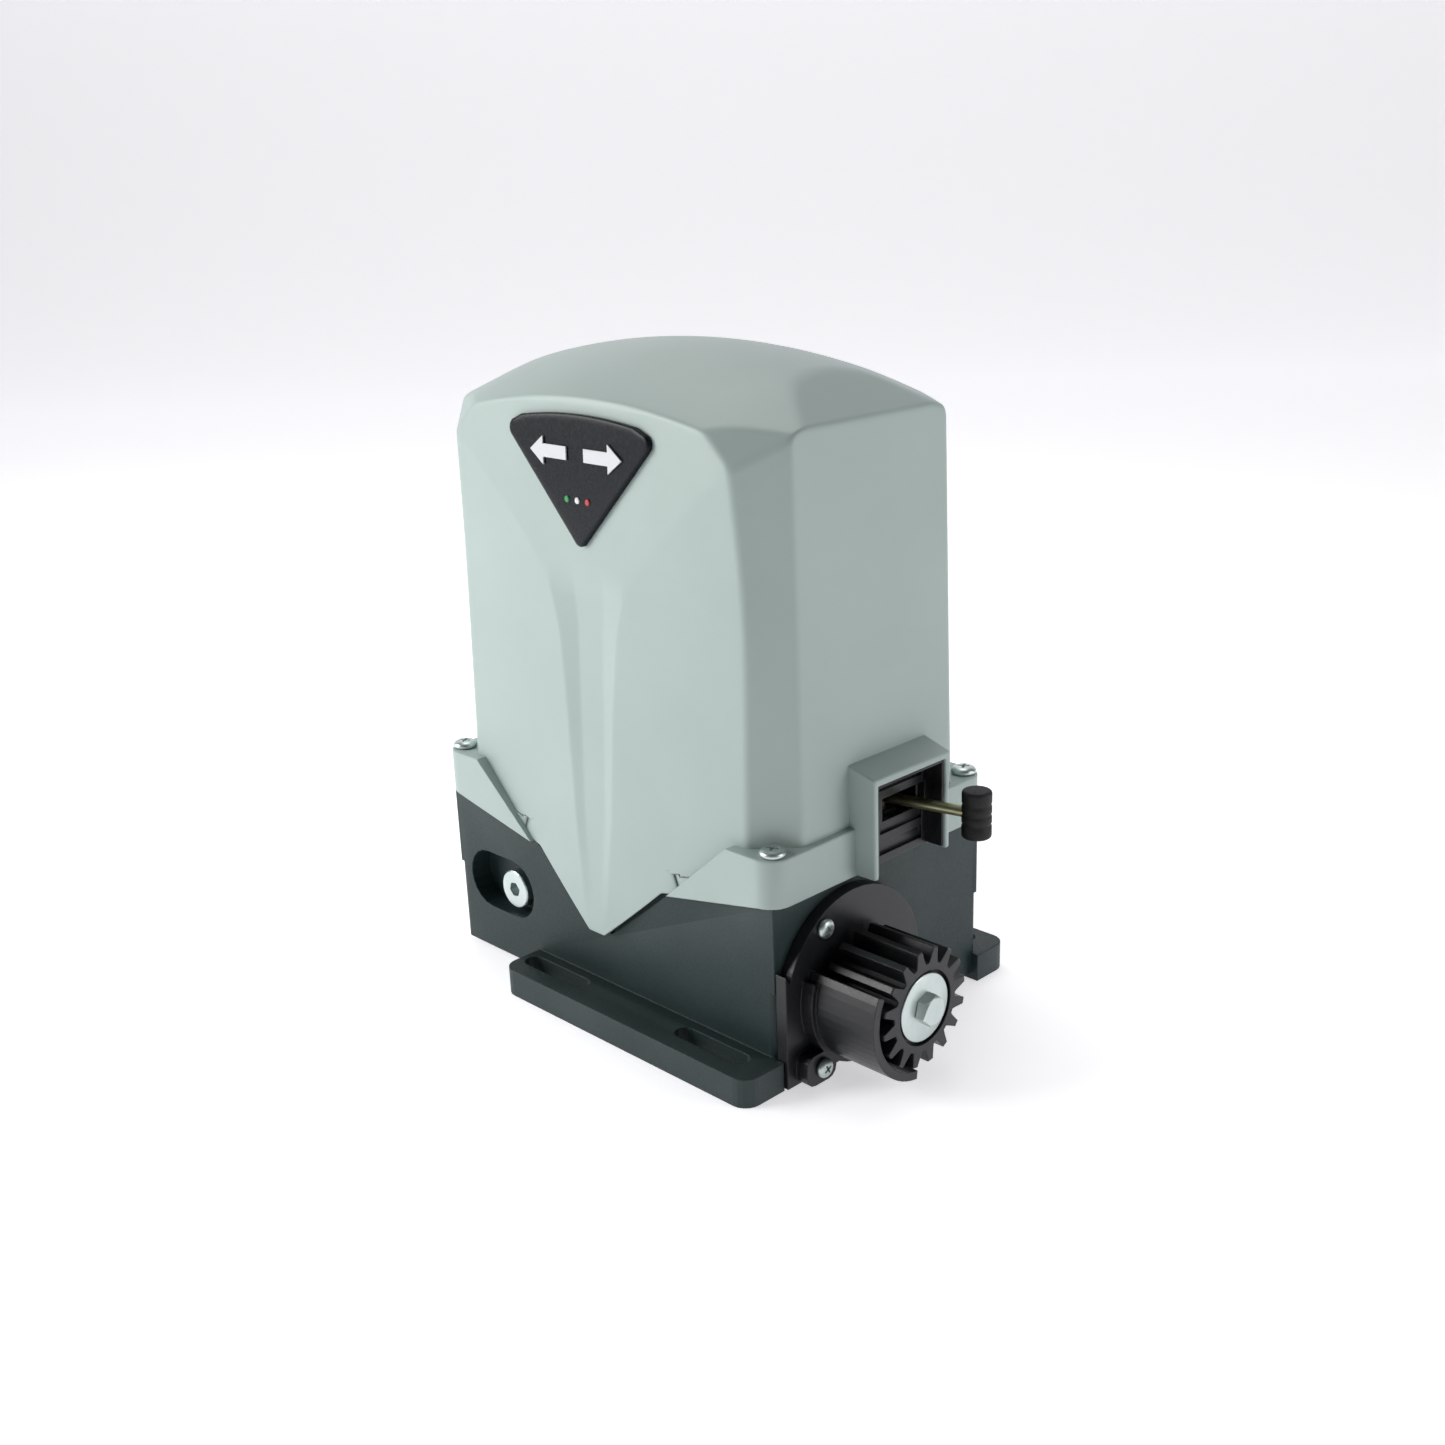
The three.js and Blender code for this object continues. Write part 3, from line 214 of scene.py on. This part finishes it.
def lathe(profile, axis, at, seg=96, arc=None):
    """Verts and faces of a turned solid; the profile is [(radius, along)] from the axis back to the axis."""
    verts, faces, rings = [], [], []
    for r, h in profile:
        if r < 1e-9:
            rings.append([len(verts)] * seg)
            verts.append((0.0, 0.0, h))
        else:
            rings.append(list(range(len(verts), len(verts) + seg)))
            for k in range(seg):
                a = 2 * math.pi * k / seg
                verts.append((r * math.cos(a), r * math.sin(a), h))
    for i in range(len(rings) - 1):
        p, q = rings[i], rings[i + 1]
        for k in range(seg):
            f = []
            for v in (p[k], p[(k + 1) % seg], q[(k + 1) % seg], q[k]):
                if v not in f:
                    f.append(v)
            if len(f) > 2:
                faces.append(f)
    if axis == "x":
        verts = [(h, a, b) for a, b, h in verts]
    elif axis == "y":
        verts = [(b, h, a) for a, b, h in verts]
    return [(v[0] + at[0], v[1] + at[1], v[2] + at[2]) for v in verts], faces


def closed_lathe(profile, axis, at, seg=96):
    """A ring: the profile closes on itself and never reaches the axis."""
    verts, faces = [], []
    n = len(profile)
    for r, h in profile:
        for k in range(seg):
            a = 2 * math.pi * k / seg
            verts.append((r * math.cos(a), r * math.sin(a), h))
    for i in range(n):
        j = (i + 1) % n
        for k in range(seg):
            l = (k + 1) % seg
            faces.append([i * seg + k, i * seg + l, j * seg + l, j * seg + k])
    if axis == "x":
        verts = [(h, a, b) for a, b, h in verts]
    elif axis == "y":
        verts = [(b, h, a) for a, b, h in verts]
    return [(v[0] + at[0], v[1] + at[1], v[2] + at[2]) for v in verts], faces


def prism(points, axis, a, b):
    """Verts and faces of a straight solid over a closed outline."""
    n = len(points)
    put = {"x": lambda p, q, h: (h, p, q), "y": lambda p, q, h: (p, h, q), "z": lambda p, q, h: (p, q, h)}[axis]
    verts = [put(p, q, a) for p, q in points] + [put(p, q, b) for p, q in points]
    faces = [list(range(n))[::-1], list(range(n, 2 * n))]
    for k in range(n):
        faces.append([k, (k + 1) % n, n + (k + 1) % n, n + k])
    return verts, faces


def raw(name, vf):
    me = bpy.data.meshes.new(name)
    me.from_pydata([tuple(c * MM for c in v) for v in vf[0]], [], [tuple(f) for f in vf[1]])
    bm = bmesh.new()
    bm.from_mesh(me)
    bmesh.ops.remove_doubles(bm, verts=bm.verts, dist=1e-7)
    bmesh.ops.recalc_face_normals(bm, faces=bm.faces)
    bm.to_mesh(me)
    bm.free()
    o = bpy.data.objects.new(name, me)
    bpy.context.scene.collection.objects.link(o)
    return o


def cut(base, tools, bevel=0.0, segments=3, angle=30.0):
    """The mesh left after the tools are cut from (or joined to) the base, with its edges rounded when a bevel is given.
    """
    made = raw("tmp_base", base)
    spent = [made]
    for how, vf in tools:
        tool = raw("tmp_tool", vf)
        spent.append(tool)
        mod = made.modifiers.new("b", "BOOLEAN")
        mod.operation = how
        mod.solver = "EXACT"
        mod.object = tool
    if bevel:
        mod = made.modifiers.new("v", "BEVEL")
        mod.width = bevel * MM
        mod.segments = segments
        mod.limit_method = "ANGLE"
        mod.angle_limit = math.radians(angle)
        mod.use_clamp_overlap = True
    bpy.context.view_layer.update()
    dg = bpy.context.evaluated_depsgraph_get()
    me = bpy.data.meshes.new_from_object(made.evaluated_get(dg))
    for o in spent:
        bpy.data.objects.remove(o)
    return me


def arcpts(cx, cy, r, a0, a1, n):
    return [(cx + r * math.cos(math.radians(a0 + (a1 - a0) * i / n)), cy + r * math.sin(math.radians(a0 + (a1 - a0) * i / n))) for i in range(n + 1)]


def rounded(x0, x1, y0, y1, r, n=12):
    return [*arcpts(x1 - r, y0 + r, r, -90, 0, n), *arcpts(x1 - r, y1 - r, r, 0, 90, n), *arcpts(x0 + r, y1 - r, r, 90, 180, n), *arcpts(x0 + r, y0 + r, r, 180, 270, n)]


# ------------------------------------------------------------------ cover

CREASE = np.array([[30, 5], [60, 8.5], [100, 13], [150, 16], [190, 20], [204, 24], [214, 29], [224, 36], [238, 50], [255, 69], [275, 93], [320, 150]], float)
CHAN = np.array([[52, 0, 0.45], [70, 0.5, 0.5], [105, 1.3, 0.55], [150, 1.9, 0.5], [190, 2.4, 0.42], [206, 2.4, 0.4], [222, 0, 0.4], [400, 0, 0.4]], float)
V_HALF, V_SHOULDER, V_APEX, RIM = 46.5, 74.2, 41.5, 86.5


def crease(z):
    return np.interp(z, CREASE[:, 0], CREASE[:, 1])


def soft(t, w=1.2):
    """max(t, 0) with a rounded corner of width w."""
    return 0.5 * (t + np.sqrt(t * t + w * w)) - 0.5 * w * np.exp(-np.abs(t) / (4 * w))


def smax(a, b, r):
    h = np.maximum(r - np.abs(a - b), 0.0)
    return np.maximum(a, b) + h * h / (4 * r)


def hood(p, d=0.0, r=1.5, inner=False):
    """Signed measure of the moulding: negative inside, with rounded edges; d sets the skin in."""
    x, y, z = np.abs(p[:, 0]), np.abs(p[:, 1]), p[:, 2]
    c = crease(z)
    if inner:
        face = np.where(z < RIM + 0.4, 72.3, 66.2 - 0.02 * (z - 86))
        side = 110.6 - 0.018 * (z - 86)
        chamfer = np.full_like(z, 112.8) - 0.0187 * (z - 109)
    else:
        face = 76.5 - 0.034 * (z - 42) - 0.065 * soft(x - c)
        cc = crease(np.minimum(z, 206))
        q = np.interp(z, CHAN[:, 0], CHAN[:, 2])
        depth = np.interp(z, CHAN[:, 0], CHAN[:, 1])
        face = face - depth * np.clip((cc - x) / np.maximum(cc * (1 - q), 1e-3), 0, 1)
        side = 114 - 0.018 * (z - 86)
        chamfer = 116.7 - 0.0187 * (z - 109)
    f = smax(x - side, y - face, r)
    f = smax(f, (x + y) * math.sqrt(0.5) - chamfer, r)
    top = z - (315 - 8 * (x / 77) ** 2 - 19 * (y / 68) ** 2)
    top = smax(top, (0.5 * (x - 82) + 0.84 * (z - 305.5)) / 0.9775, r)
    top = smax(top, (0.449 * (x - 75) + 0.738 * (y - 67.6) + 0.503 * (z - 290.5)) / 0.9996, r)
    top = smax(top, (0.30 * (x - 80) + 0.31 * (y - 34) + 0.90 * (z - 302)) / 0.998, r)
    return smax(f, top + d, r)


def vline(x):
    a = np.abs(x)
    return np.where(a <= V_HALF, np.maximum(V_APEX, 37.2 + (V_SHOULDER - 37.2) * (a / V_HALF)), V_SHOULDER + (RIM - V_SHOULDER) * np.minimum(1, (a - V_HALF) / (108 - V_HALF)))


def project(p, inner):
    o = np.column_stack([p[:, 0] * 0.35, p[:, 1] * 0.35, np.minimum(p[:, 2], 190.0)])
    lo, hi = np.zeros(len(p)), np.full(len(p), 1.35)
    for _ in range(34):
        mid = (lo + hi) / 2
        inside = hood(o + (p - o) * mid[:, None], 3.4 if inner else 0.0, inner=inner) < 0
        lo, hi = np.where(inside, mid, lo), np.where(inside, hi, mid)
    return o + (p - o) * lo[:, None]


def skin(inner, nx, ny, nz):
    """The hood as one sheet: four sides in rows from the lower edge up, then the top."""
    hx, hy, top = 114.5, 77.0, 315.0
    xs, ys = np.linspace(-hx, hx, nx + 1), np.linspace(-hy, hy, ny + 1)
    loop = [(x, -hy) for x in xs[:-1]] + [(hx, y) for y in ys[:-1]] + [(x, hy) for x in xs[::-1][:-1]] + [(-hx, y) for y in ys[::-1][:-1]]
    loop = np.array(loop)
    n = len(loop)
    low = np.where(np.abs(np.abs(loop[:, 1]) - hy) < 1e-6, vline(loop[:, 0]), RIM)
    low = np.minimum(low, RIM)
    pts = []
    for j in range(nz + 1):
        t = j / nz
        pts.append(np.column_stack([loop, low + (top - low) * t]))
    side = np.vstack(pts)
    index = {}
    for k, (x, y) in enumerate(loop):
        index[(round(float(x), 5), round(float(y), 5))] = nz * n + k
    extra = []
    grid = np.zeros((nx + 1, ny + 1), int)
    for i, x in enumerate(xs):
        for j, y in enumerate(ys):
            key = (round(float(x), 5), round(float(y), 5))
            if key not in index:
                index[key] = len(side) + len(extra)
                extra.append((x, y, top))
            grid[i, j] = index[key]
    p = np.vstack([side, np.array(extra)])
    q = project(p, inner)
    q[:n, 2] = low
    faces = []
    for j in range(nz):
        for k in range(n):
            l = (k + 1) % n
            faces.append((j * n + k, j * n + l, (j + 1) * n + l, (j + 1) * n + k))
    for i in range(nx):
        for j in range(ny):
            faces.append((grid[i, j], grid[i + 1, j], grid[i + 1, j + 1], grid[i, j + 1]))
    return q, faces, n


def cover_mesh():
    nx, ny, nz = 180, 112, 170
    a, fa, n = skin(False, nx, ny, nz)
    b, fb, _ = skin(True, nx, ny, nz)
    verts = np.vstack([a, b])
    s = len(a)
    faces = list(fa) + [tuple(s + i for i in f[::-1]) for f in fb]
    for k in range(n):
        l = (k + 1) % n
        faces.append((k, s + k, s + l, l))
    return verts.tolist(), faces


def stack(levels):
    """Verts and faces of a solid through level outlines with the same number of points."""
    n, m = len(levels[0][0]), len(levels)
    verts = [(x, y, z) for o, z in levels for x, y in o]
    faces = [list(range(n))[::-1], list(range((m - 1) * n, m * n))]
    for i in range(m - 1):
        for k in range(n):
            l = (k + 1) % n
            faces.append([i * n + k, i * n + l, (i + 1) * n + l, (i + 1) * n + k])
    return verts, faces


SX, SY = 109.5, 66.5
WINDOW = prism([(100, -17.8), (140, -17.8), (140, 29.3), (100, 29.3)], "z", 70, 130.6)
me = cut(cover_mesh(), [("DIFFERENCE", WINDOW)])
cover = finish_piece("cover_hood", me, M["cover_plastic"], "cover", ["cover_shell"], sharp=40)

# band with its four lugs; a wedge leaves the long faces clear
band_tools = []
for s in (-1, 1):
    pts = [(-90, 110), (-46.5, 72.5), (-46.5, 50), (46.5, 50), (46.5, 72.5), (90, 110)]
    band_tools.append(("DIFFERENCE", prism(pts, "y", s * 40, s * 90)))
below = [(-140, 20), (140, 20), (140, RIM), (108, RIM), (V_HALF, V_SHOULDER), (-V_HALF, V_SHOULDER), (-108, RIM), (-140, RIM)]
band_tools.append(("DIFFERENCE", prism(below, "y", -100, 100)))
band_tools.append(("DIFFERENCE", prism(rounded(-113.2, 113.2, -72.3, 72.3, 8), "z", 60, RIM)))
band_tools.append(("DIFFERENCE", prism(rounded(-111, 111, -66.4, 66.4, 20), "z", 50, 130)))
for sx in (-1, 1):
    for sy in (-1, 1):
        band_tools.append(("DIFFERENCE", lathe([(0, 60), (2.9, 60), (2.9, 130), (0, 130)], "z", (sx * SX, sy * SY, 0), 32)))
band_tools.append(("DIFFERENCE", WINDOW))
rim = [(rounded(-117, 117, -75, 75, 11, 16), 60)]
for k in range(6):  # rounded upper edge
    t = k / 5 * math.pi / 2
    i = 0.9 * (1 - math.cos(t))
    rim.append((rounded(-117 + i, 117 - i, -75 + i, 75 - i, 11 - i, 16), 108.1 + 0.9 * math.sin(t)))
me = cut(stack(rim), band_tools)
finish_piece("cover_band", me, M["cover_plastic"], "cover", sharp=40)

# limit housing on the +X face, open at the front and below
hv = []
for x, y0, y1, zt in ((110.8, -21.4, 32.9, 138.9), (128.0, -20.6, 32.1, 134.0)):
    hv += [(x, y0, 86.5), (x, y1, 86.5), (x, y1, zt), (x, y0, zt)]
hf = [(0, 1, 2, 3), (7, 6, 5, 4), (0, 4, 5, 1), (1, 5, 6, 2), (2, 6, 7, 3), (3, 7, 4, 0)]
me = cut((hv, hf), [("DIFFERENCE", prism([(100, -17.8), (140, -17.8), (140, 29.3), (100, 29.3)], "z", 70, 130.6))], bevel=1.0, segments=4, angle=30)
finish_piece("limit_housing", me, M["cover_plastic"], "cover", sharp=40)

# black lining of the window, standing forward from the bezel; the lever swings inside it
liner = []
for x in (116.9, 126.8):
    liner += [(x, -17.5, 87.6), (x, 29.0, 87.6), (x, 29.0, 130.3), (x, -17.5, 130.3)]
me = cut((liner, hf), [("DIFFERENCE", prism([(110, -16.2), (130, -16.2), (130, 27.9), (110, 27.9)], "z", 80, 129.0))], bevel=0.3, segments=2, angle=40)
finish_piece("limit_liner", me, M["black_nylon"], BODY["limit_bezel"], sharp=40)

# ------------------------------------------------------------------ fasteners


def pan_screw(name, axis, a, b, seat, head_r, head_h, shank_r, length, body, node):
    prof = [(0, -length), (shank_r, -length), (shank_r, 0), (head_r * 0.94, 0), (head_r, head_h * 0.16), (head_r, head_h * 0.34)]
    for i in range(1, 9):
        t = i / 9 * math.pi / 2
        prof.append((head_r * (0.36 + 0.64 * math.cos(t)), head_h * (0.34 + 0.66 * math.sin(t))))
    prof.append((0, head_h))
    at = (seat, a, b) if axis == "x" else (a, b, seat)
    w, l, lo, hi = head_r * 0.12, head_r * 0.54, head_h * 0.4, head_h + 1

    def bar(p, q):
        o = [(-p, -q), (p, -q), (p, q), (-p, q)]
        small = [(u * 0.55, v * 0.55) for u, v in o]
        v = [(u, s, lo) for u, s in small] + [(u * 1.1, s * 1.1, hi) for u, s in o]
        f = [(3, 2, 1, 0), (4, 5, 6, 7)] + [(k, (k + 1) % 4, 4 + (k + 1) % 4, 4 + k) for k in range(4)]
        turn = math.radians(28)
        v = [(x * math.cos(turn) - y * math.sin(turn), x * math.sin(turn) + y * math.cos(turn), z) for x, y, z in v]
        if axis == "x":
            v = [(z, x, y) for x, y, z in v]
        return [(x + at[0], y + at[1], z + at[2]) for x, y, z in v], f

    me = cut(lathe(prof, axis, at, 48), [("DIFFERENCE", bar(l, w)), ("DIFFERENCE", bar(w, l))])
    finish_piece(name, me, M["zinc_plate"], body, [node], sharp=35)


pan_screw("guard_screw_upper_fine", "x", -46.5, 71, 120.6, 4.6, 3, 2.3, 12, "operator_base", "guard_screw_upper")
pan_screw("guard_screw_lower_fine", "x", -56, 8.5, 127.3, 4.6, 3, 2.3, 20, "operator_base", "guard_screw_lower")
for tag, sx, sy in (("front_right", 1, -1), ("rear_right", 1, 1), ("rear_left", -1, 1), ("front_left", -1, -1)):
    pan_screw("cover_screw_fine_" + tag, "z", sx * SX, sy * SY, 109.3, 6, 3.4, 2.4, 40, "cover", "cover_screw_" + tag)

AXY, AXZ = -26.0, 38.0
obj("pinion_washer_fine", *closed_lathe([(4.4, 158.3), (15.4, 158.3), (15.85, 158.55), (16, 158.9), (16, 160.2), (15.85, 160.55), (15.4, 160.8), (4.4, 160.8)], "x", (0, AXY, AXZ), 128),
    M["zinc_plate"], "output_train", "zinc_plate", ["pinion_washer"], sharp=50)
hexa = [(AXY + 13 / math.sqrt(3) * math.cos(math.radians(15 + 60 * k)), AXZ + 13 / math.sqrt(3) * math.sin(math.radians(15 + 60 * k))) for k in range(6)]
me = cut(prism(hexa, "x", 161.1, 166.4), [
    ("INTERSECT", lathe([(0, 161.1), (7.6, 161.1), (7.6, 165.2), (6.2, 166.4), (0, 166.4)], "x", (0, AXY, AXZ), 96)),
    ("UNION", lathe([(0, 130), (3.3, 130), (3.6, 130.4), (3.6, 161.5), (0, 161.5)], "x", (0, AXY, AXZ), 40)),
])
finish_piece("pinion_bolt_fine", me, M["zinc_plate"], "output_train", ["pinion_bolt"], sharp=30)

# ------------------------------------------------------------------ pinion

tip, root_ = 1.5, 3.1
rt, rr = 28.0, 21.0
prof = []
for i in range(16):
    c = i * math.pi / 8 + 0.14
    pts = []
    for k in range(7):  # flank, curved as it rises
        t = k / 6
        r = rr + (rt - rr) * t
        w = root_ + (tip - root_) * (t ** 0.8)
        pts.append((r, -w / r))
    pts += [(rt, 0.0)]
    pts += [(r, -a) for r, a in pts[:7][::-1]]
    prof += [(AXY + r * math.cos(c + a), AXZ + r * math.sin(c + a)) for r, a in pts]
ends = []
for k, h in ((0.985, 124.4), (1.0, 124.8), (1.0, 160.6), (0.985, 161.0)):  # chamfered ends
    ends.append(([(AXY + (y - AXY) * k, AXZ + (z - AXZ) * k) for y, z in prof], h))
blank_v, blank_f = stack(ends)
me = cut(([(h, y, z) for y, z, h in blank_v], blank_f), [
    ("DIFFERENCE", lathe([(0, 120), (8.7, 120), (8.7, 160), (0, 160)], "x", (0, AXY, AXZ), 64)),
    ("DIFFERENCE", prism([(AXY - 2.8, AXZ), (AXY + 2.8, AXZ), (AXY + 2.8, AXZ + 10.9), (AXY - 2.8, AXZ + 10.9)], "x", 120, 160)),
    ("DIFFERENCE", lathe([(0, 158), (17.5, 158), (17.5, 165), (0, 165)], "x", (0, AXY, AXZ), 96)),
])
finish_piece("drive_pinion_fine", me, M["black_nylon"], "output_train", ["drive_pinion"], sharp=30)

# ------------------------------------------------------------------ limit lever

LX, LY, LZ, REST = 101.0, 11.0, 112.0, math.radians(12.5)
kx, ky = LX + 51.2 * math.cos(REST), LY + 51.2 * math.sin(REST)
rodv, rodf = lathe([(0, 2), (2.6, 2), (2.6, 50.8), (2.4, 51.2), (0, 51.2)], "x", (0, 0, 0), 48)
rodv = [(LX + x * math.cos(REST) - y * math.sin(REST), LY + x * math.sin(REST) + y * math.cos(REST), LZ + z) for x, y, z in rodv]
me = cut(lathe([(0, 105.4), (4.6, 105.4), (5, 105.8), (5, 118.2), (4.6, 118.6), (0, 118.6)], "z", (LX, LY, 0), 48), [
    ("UNION", (rodv, rodf)),
    ("UNION", lathe([(0, 103), (2.2, 103), (2.2, 121.6), (0, 121.6)], "z", (kx, ky, 0), 40)),
])
finish_piece("limit_lever_fine", me, M["yellow_zinc"], "limit_arm", ["limit_lever"], sharp=35)
capp = [(0, 101)] + [(5.4 + 1.4 * math.sin(t), 102.4 - 1.4 * math.cos(t)) for t in np.linspace(0, math.pi / 2, 7)]
for zr in (107.5, 112.2, 116.9):  # shallow ribs round the rubber
    capp += [(6.8, zr - 1.0), (6.5, zr - 0.5), (6.5, zr + 0.5), (6.8, zr + 1.0)]
capp += [(5.4 + 1.4 * math.cos(t), 122.0 + 1.4 * math.sin(t)) for t in np.linspace(0, math.pi / 2, 7)] + [(0, 123.4)]
bore, boref = lathe([(0, 40), (2.9, 40), (2.9, 53), (0, 53)], "x", (0, 0, 0), 40)
bore = [(LX + x * math.cos(REST) - y * math.sin(REST), LY + x * math.sin(REST) + y * math.cos(REST), LZ + z) for x, y, z in bore]
me = cut(lathe(capp, "z", (kx, ky, 0), 72), [("DIFFERENCE", lathe([(0, 102.6), (2.5, 102.6), (2.5, 121.9), (0, 121.9)], "z", (kx, ky, 0), 40)), ("DIFFERENCE", (bore, boref))])
finish_piece("lever_cap_fine", me, M["rubber"], "limit_arm", ["lever_cap"], sharp=35)

# ------------------------------------------------------------------ badge: domed shield with three lamps

TILT = math.atan(0.034)
FACE284 = -(76.5 - 0.034 * (284 - 42))


def on_face(u, v, w):
    return (u, FACE284 - 0.3 - w * math.cos(TILT) + v * math.sin(TILT), 284 + v * math.cos(TILT) + w * math.sin(TILT))


outline = [*arcpts(43, -4.5, 4.5, -35, 75, 10)]
outline += [(44 - i * 5.5, 5 - 3.6 * (44 - i * 5.5) ** 2 / 44 ** 2) for i in range(1, 16)]
outline += [*arcpts(-43, -4.5, 4.5, 105, 215, 10), *arcpts(0, -50, 4, 215, 325, 12)]
levels = [(1.0, 0.0), (1.0, 1.5), (0.992, 1.95), (0.972, 2.2), (0.94, 2.3)] + [(0.94 - 0.094 * i, 2.3 + 0.1 * (1 - (1 - i / 10) ** 2)) for i in range(1, 10)]
cu, cv = 0.0, -16.0
verts, faces = [], []
n = len(outline)
for s, w in levels:
    for u, v in outline:
        verts.append(on_face(cu + (u - cu) * s, cv + (v - cv) * s, w))
for i in range(len(levels) - 1):
    for k in range(n):
        l = (k + 1) % n
        faces.append((i * n + k, i * n + l, (i + 1) * n + l, (i + 1) * n + k))
last = len(verts)
verts.append(on_face(cu, cv, 2.4))
verts.append(on_face(cu, cv, 0.0))
for k in range(n):
    l = (k + 1) % n
    faces.append(((len(levels) - 1) * n + k, (len(levels) - 1) * n + l, last))
    faces.append((l, k, last + 1))
obj("badge_shield", verts, faces, M["badge_gloss"], "cover", "badge_gloss", ["badge_plate"], sharp=50)
for u0, col in ((-7, "green"), (0, "white"), (7, "red")):
    dv, df = lathe([(0, 2.2), (1.5, 2.2), (1.5, 2.75), (1.2, 3.0), (0, 3.1)], "z", (0, 0, 0), 40)
    obj("badge_lamp_" + col, [on_face(u0 + x, -33 + y, z) for x, y, z in dv], df, DOT[col], "cover", "badge_print", sharp=35)

# ------------------------------------------------------------------ stage, light, camera

floor_m = bpy.data.materials.new("floor")
floor_m.use_nodes = True
fb = floor_m.node_tree.nodes["Principled BSDF"]
fb.inputs["Base Color"].default_value = (0.90, 0.90, 0.915, 1)
fb.inputs["Roughness"].default_value = 0.9
fb.inputs["Emission Color"].default_value = (0.98, 0.975, 1.0, 1)
fb.inputs["Emission Strength"].default_value = 0.56
fv, ff = [], []
rows = [(-4.0, 0.0), (2.2, 0.0)] + [(2.2 + 1.2 * math.sin(a), 1.2 - 1.2 * math.cos(a)) for a in np.linspace(0.1, math.pi / 2, 14)] + [(3.4, 4.5)]
az = math.radians(45.893)
fwd, rgt = Vector((-math.sin(az), math.cos(az), 0)), Vector((math.cos(az), math.sin(az), 0))
for d, h in rows:
    for s in (-5.0, 5.0):
        p = fwd * d + rgt * s
        fv.append((p.x, p.y, h))
for i in range(len(rows) - 1):
    ff.append((2 * i, 2 * i + 1, 2 * i + 3, 2 * i + 2))
fm = bpy.data.meshes.new("floor")
fm.from_pydata(fv, [], ff)
fm.shade_smooth()
floor = bpy.data.objects.new("floor", fm)
bpy.context.scene.collection.objects.link(floor)
fm.materials.append(floor_m)

world = bpy.data.worlds.new("studio")
bpy.context.scene.world = world
world.use_nodes = True
world.node_tree.nodes["Background"].inputs["Color"].default_value = (0.93, 0.95, 1.0, 1)
world.node_tree.nodes["Background"].inputs["Strength"].default_value = 0.09
# the same pale backdrop is seen beyond the floor from every side; only the dim one lights the object
wt = world.node_tree
pale = wt.nodes.new("ShaderNodeBackground")
pale.inputs["Color"].default_value = (0.93, 0.93, 0.95, 1)
pale.inputs["Strength"].default_value = 0.97
seen = wt.nodes.new("ShaderNodeLightPath")
both = wt.nodes.new("ShaderNodeMixShader")
wt.links.new(seen.outputs["Is Camera Ray"], both.inputs[0])
wt.links.new(wt.nodes["Background"].outputs[0], both.inputs[1])
wt.links.new(pale.outputs[0], both.inputs[2])
wt.links.new(both.outputs[0], wt.nodes["World Output"].inputs["Surface"])


def area(name, loc, aim, size, power, colour=(1, 1, 1)):
    l = bpy.data.lights.new(name, "AREA")
    l.shape = "RECTANGLE"
    l.size, l.size_y = size
    l.energy = power
    l.color = colour
    o = bpy.data.objects.new(name, l)
    bpy.context.scene.collection.objects.link(o)
    o.location = loc
    o.rotation_mode = "QUATERNION"
    o.rotation_quaternion = (Vector(aim) - Vector(loc)).to_track_quat("-Z", "Y")
    return o


area("key", (-1.0, -1.15, 0.70), (0, 0, 0.17), (0.9, 0.9), 20, (1.0, 1.0, 0.99))
area("fill", (1.25, 0.55, 0.50), (0, 0, 0.15), (0.7, 0.7), 5)
area("top", (-0.3, 0.3, 1.5), (0, 0, 0.2), (0.9, 0.9), 7)

R = []
a, e, r = math.radians(45.893), math.radians(18.636), math.radians(-2.060)
back = Vector((math.sin(a) * math.cos(e), -math.cos(a) * math.cos(e), math.sin(e)))
right = Vector((math.cos(a), math.sin(a), 0))
up = back.cross(right)
c, s = math.cos(r), math.sin(r)
right, up = right * c + up * s, up * c - right * s
cam = bpy.data.cameras.new("camera")
cam.sensor_width = 36
cam.sensor_fit = "HORIZONTAL"
cam.lens = 42.33
cam.clip_start, cam.clip_end = 0.01, 50
co = bpy.data.objects.new("camera", cam)
bpy.context.scene.collection.objects.link(co)
co.matrix_world = Matrix(((right.x, up.x, back.x, 0.578570), (right.y, up.y, back.y, -0.548204), (right.z, up.z, back.z, 0.396664), (0, 0, 0, 1)))
bpy.context.scene.camera = co
bpy.context.scene.view_settings.view_transform = "Standard"
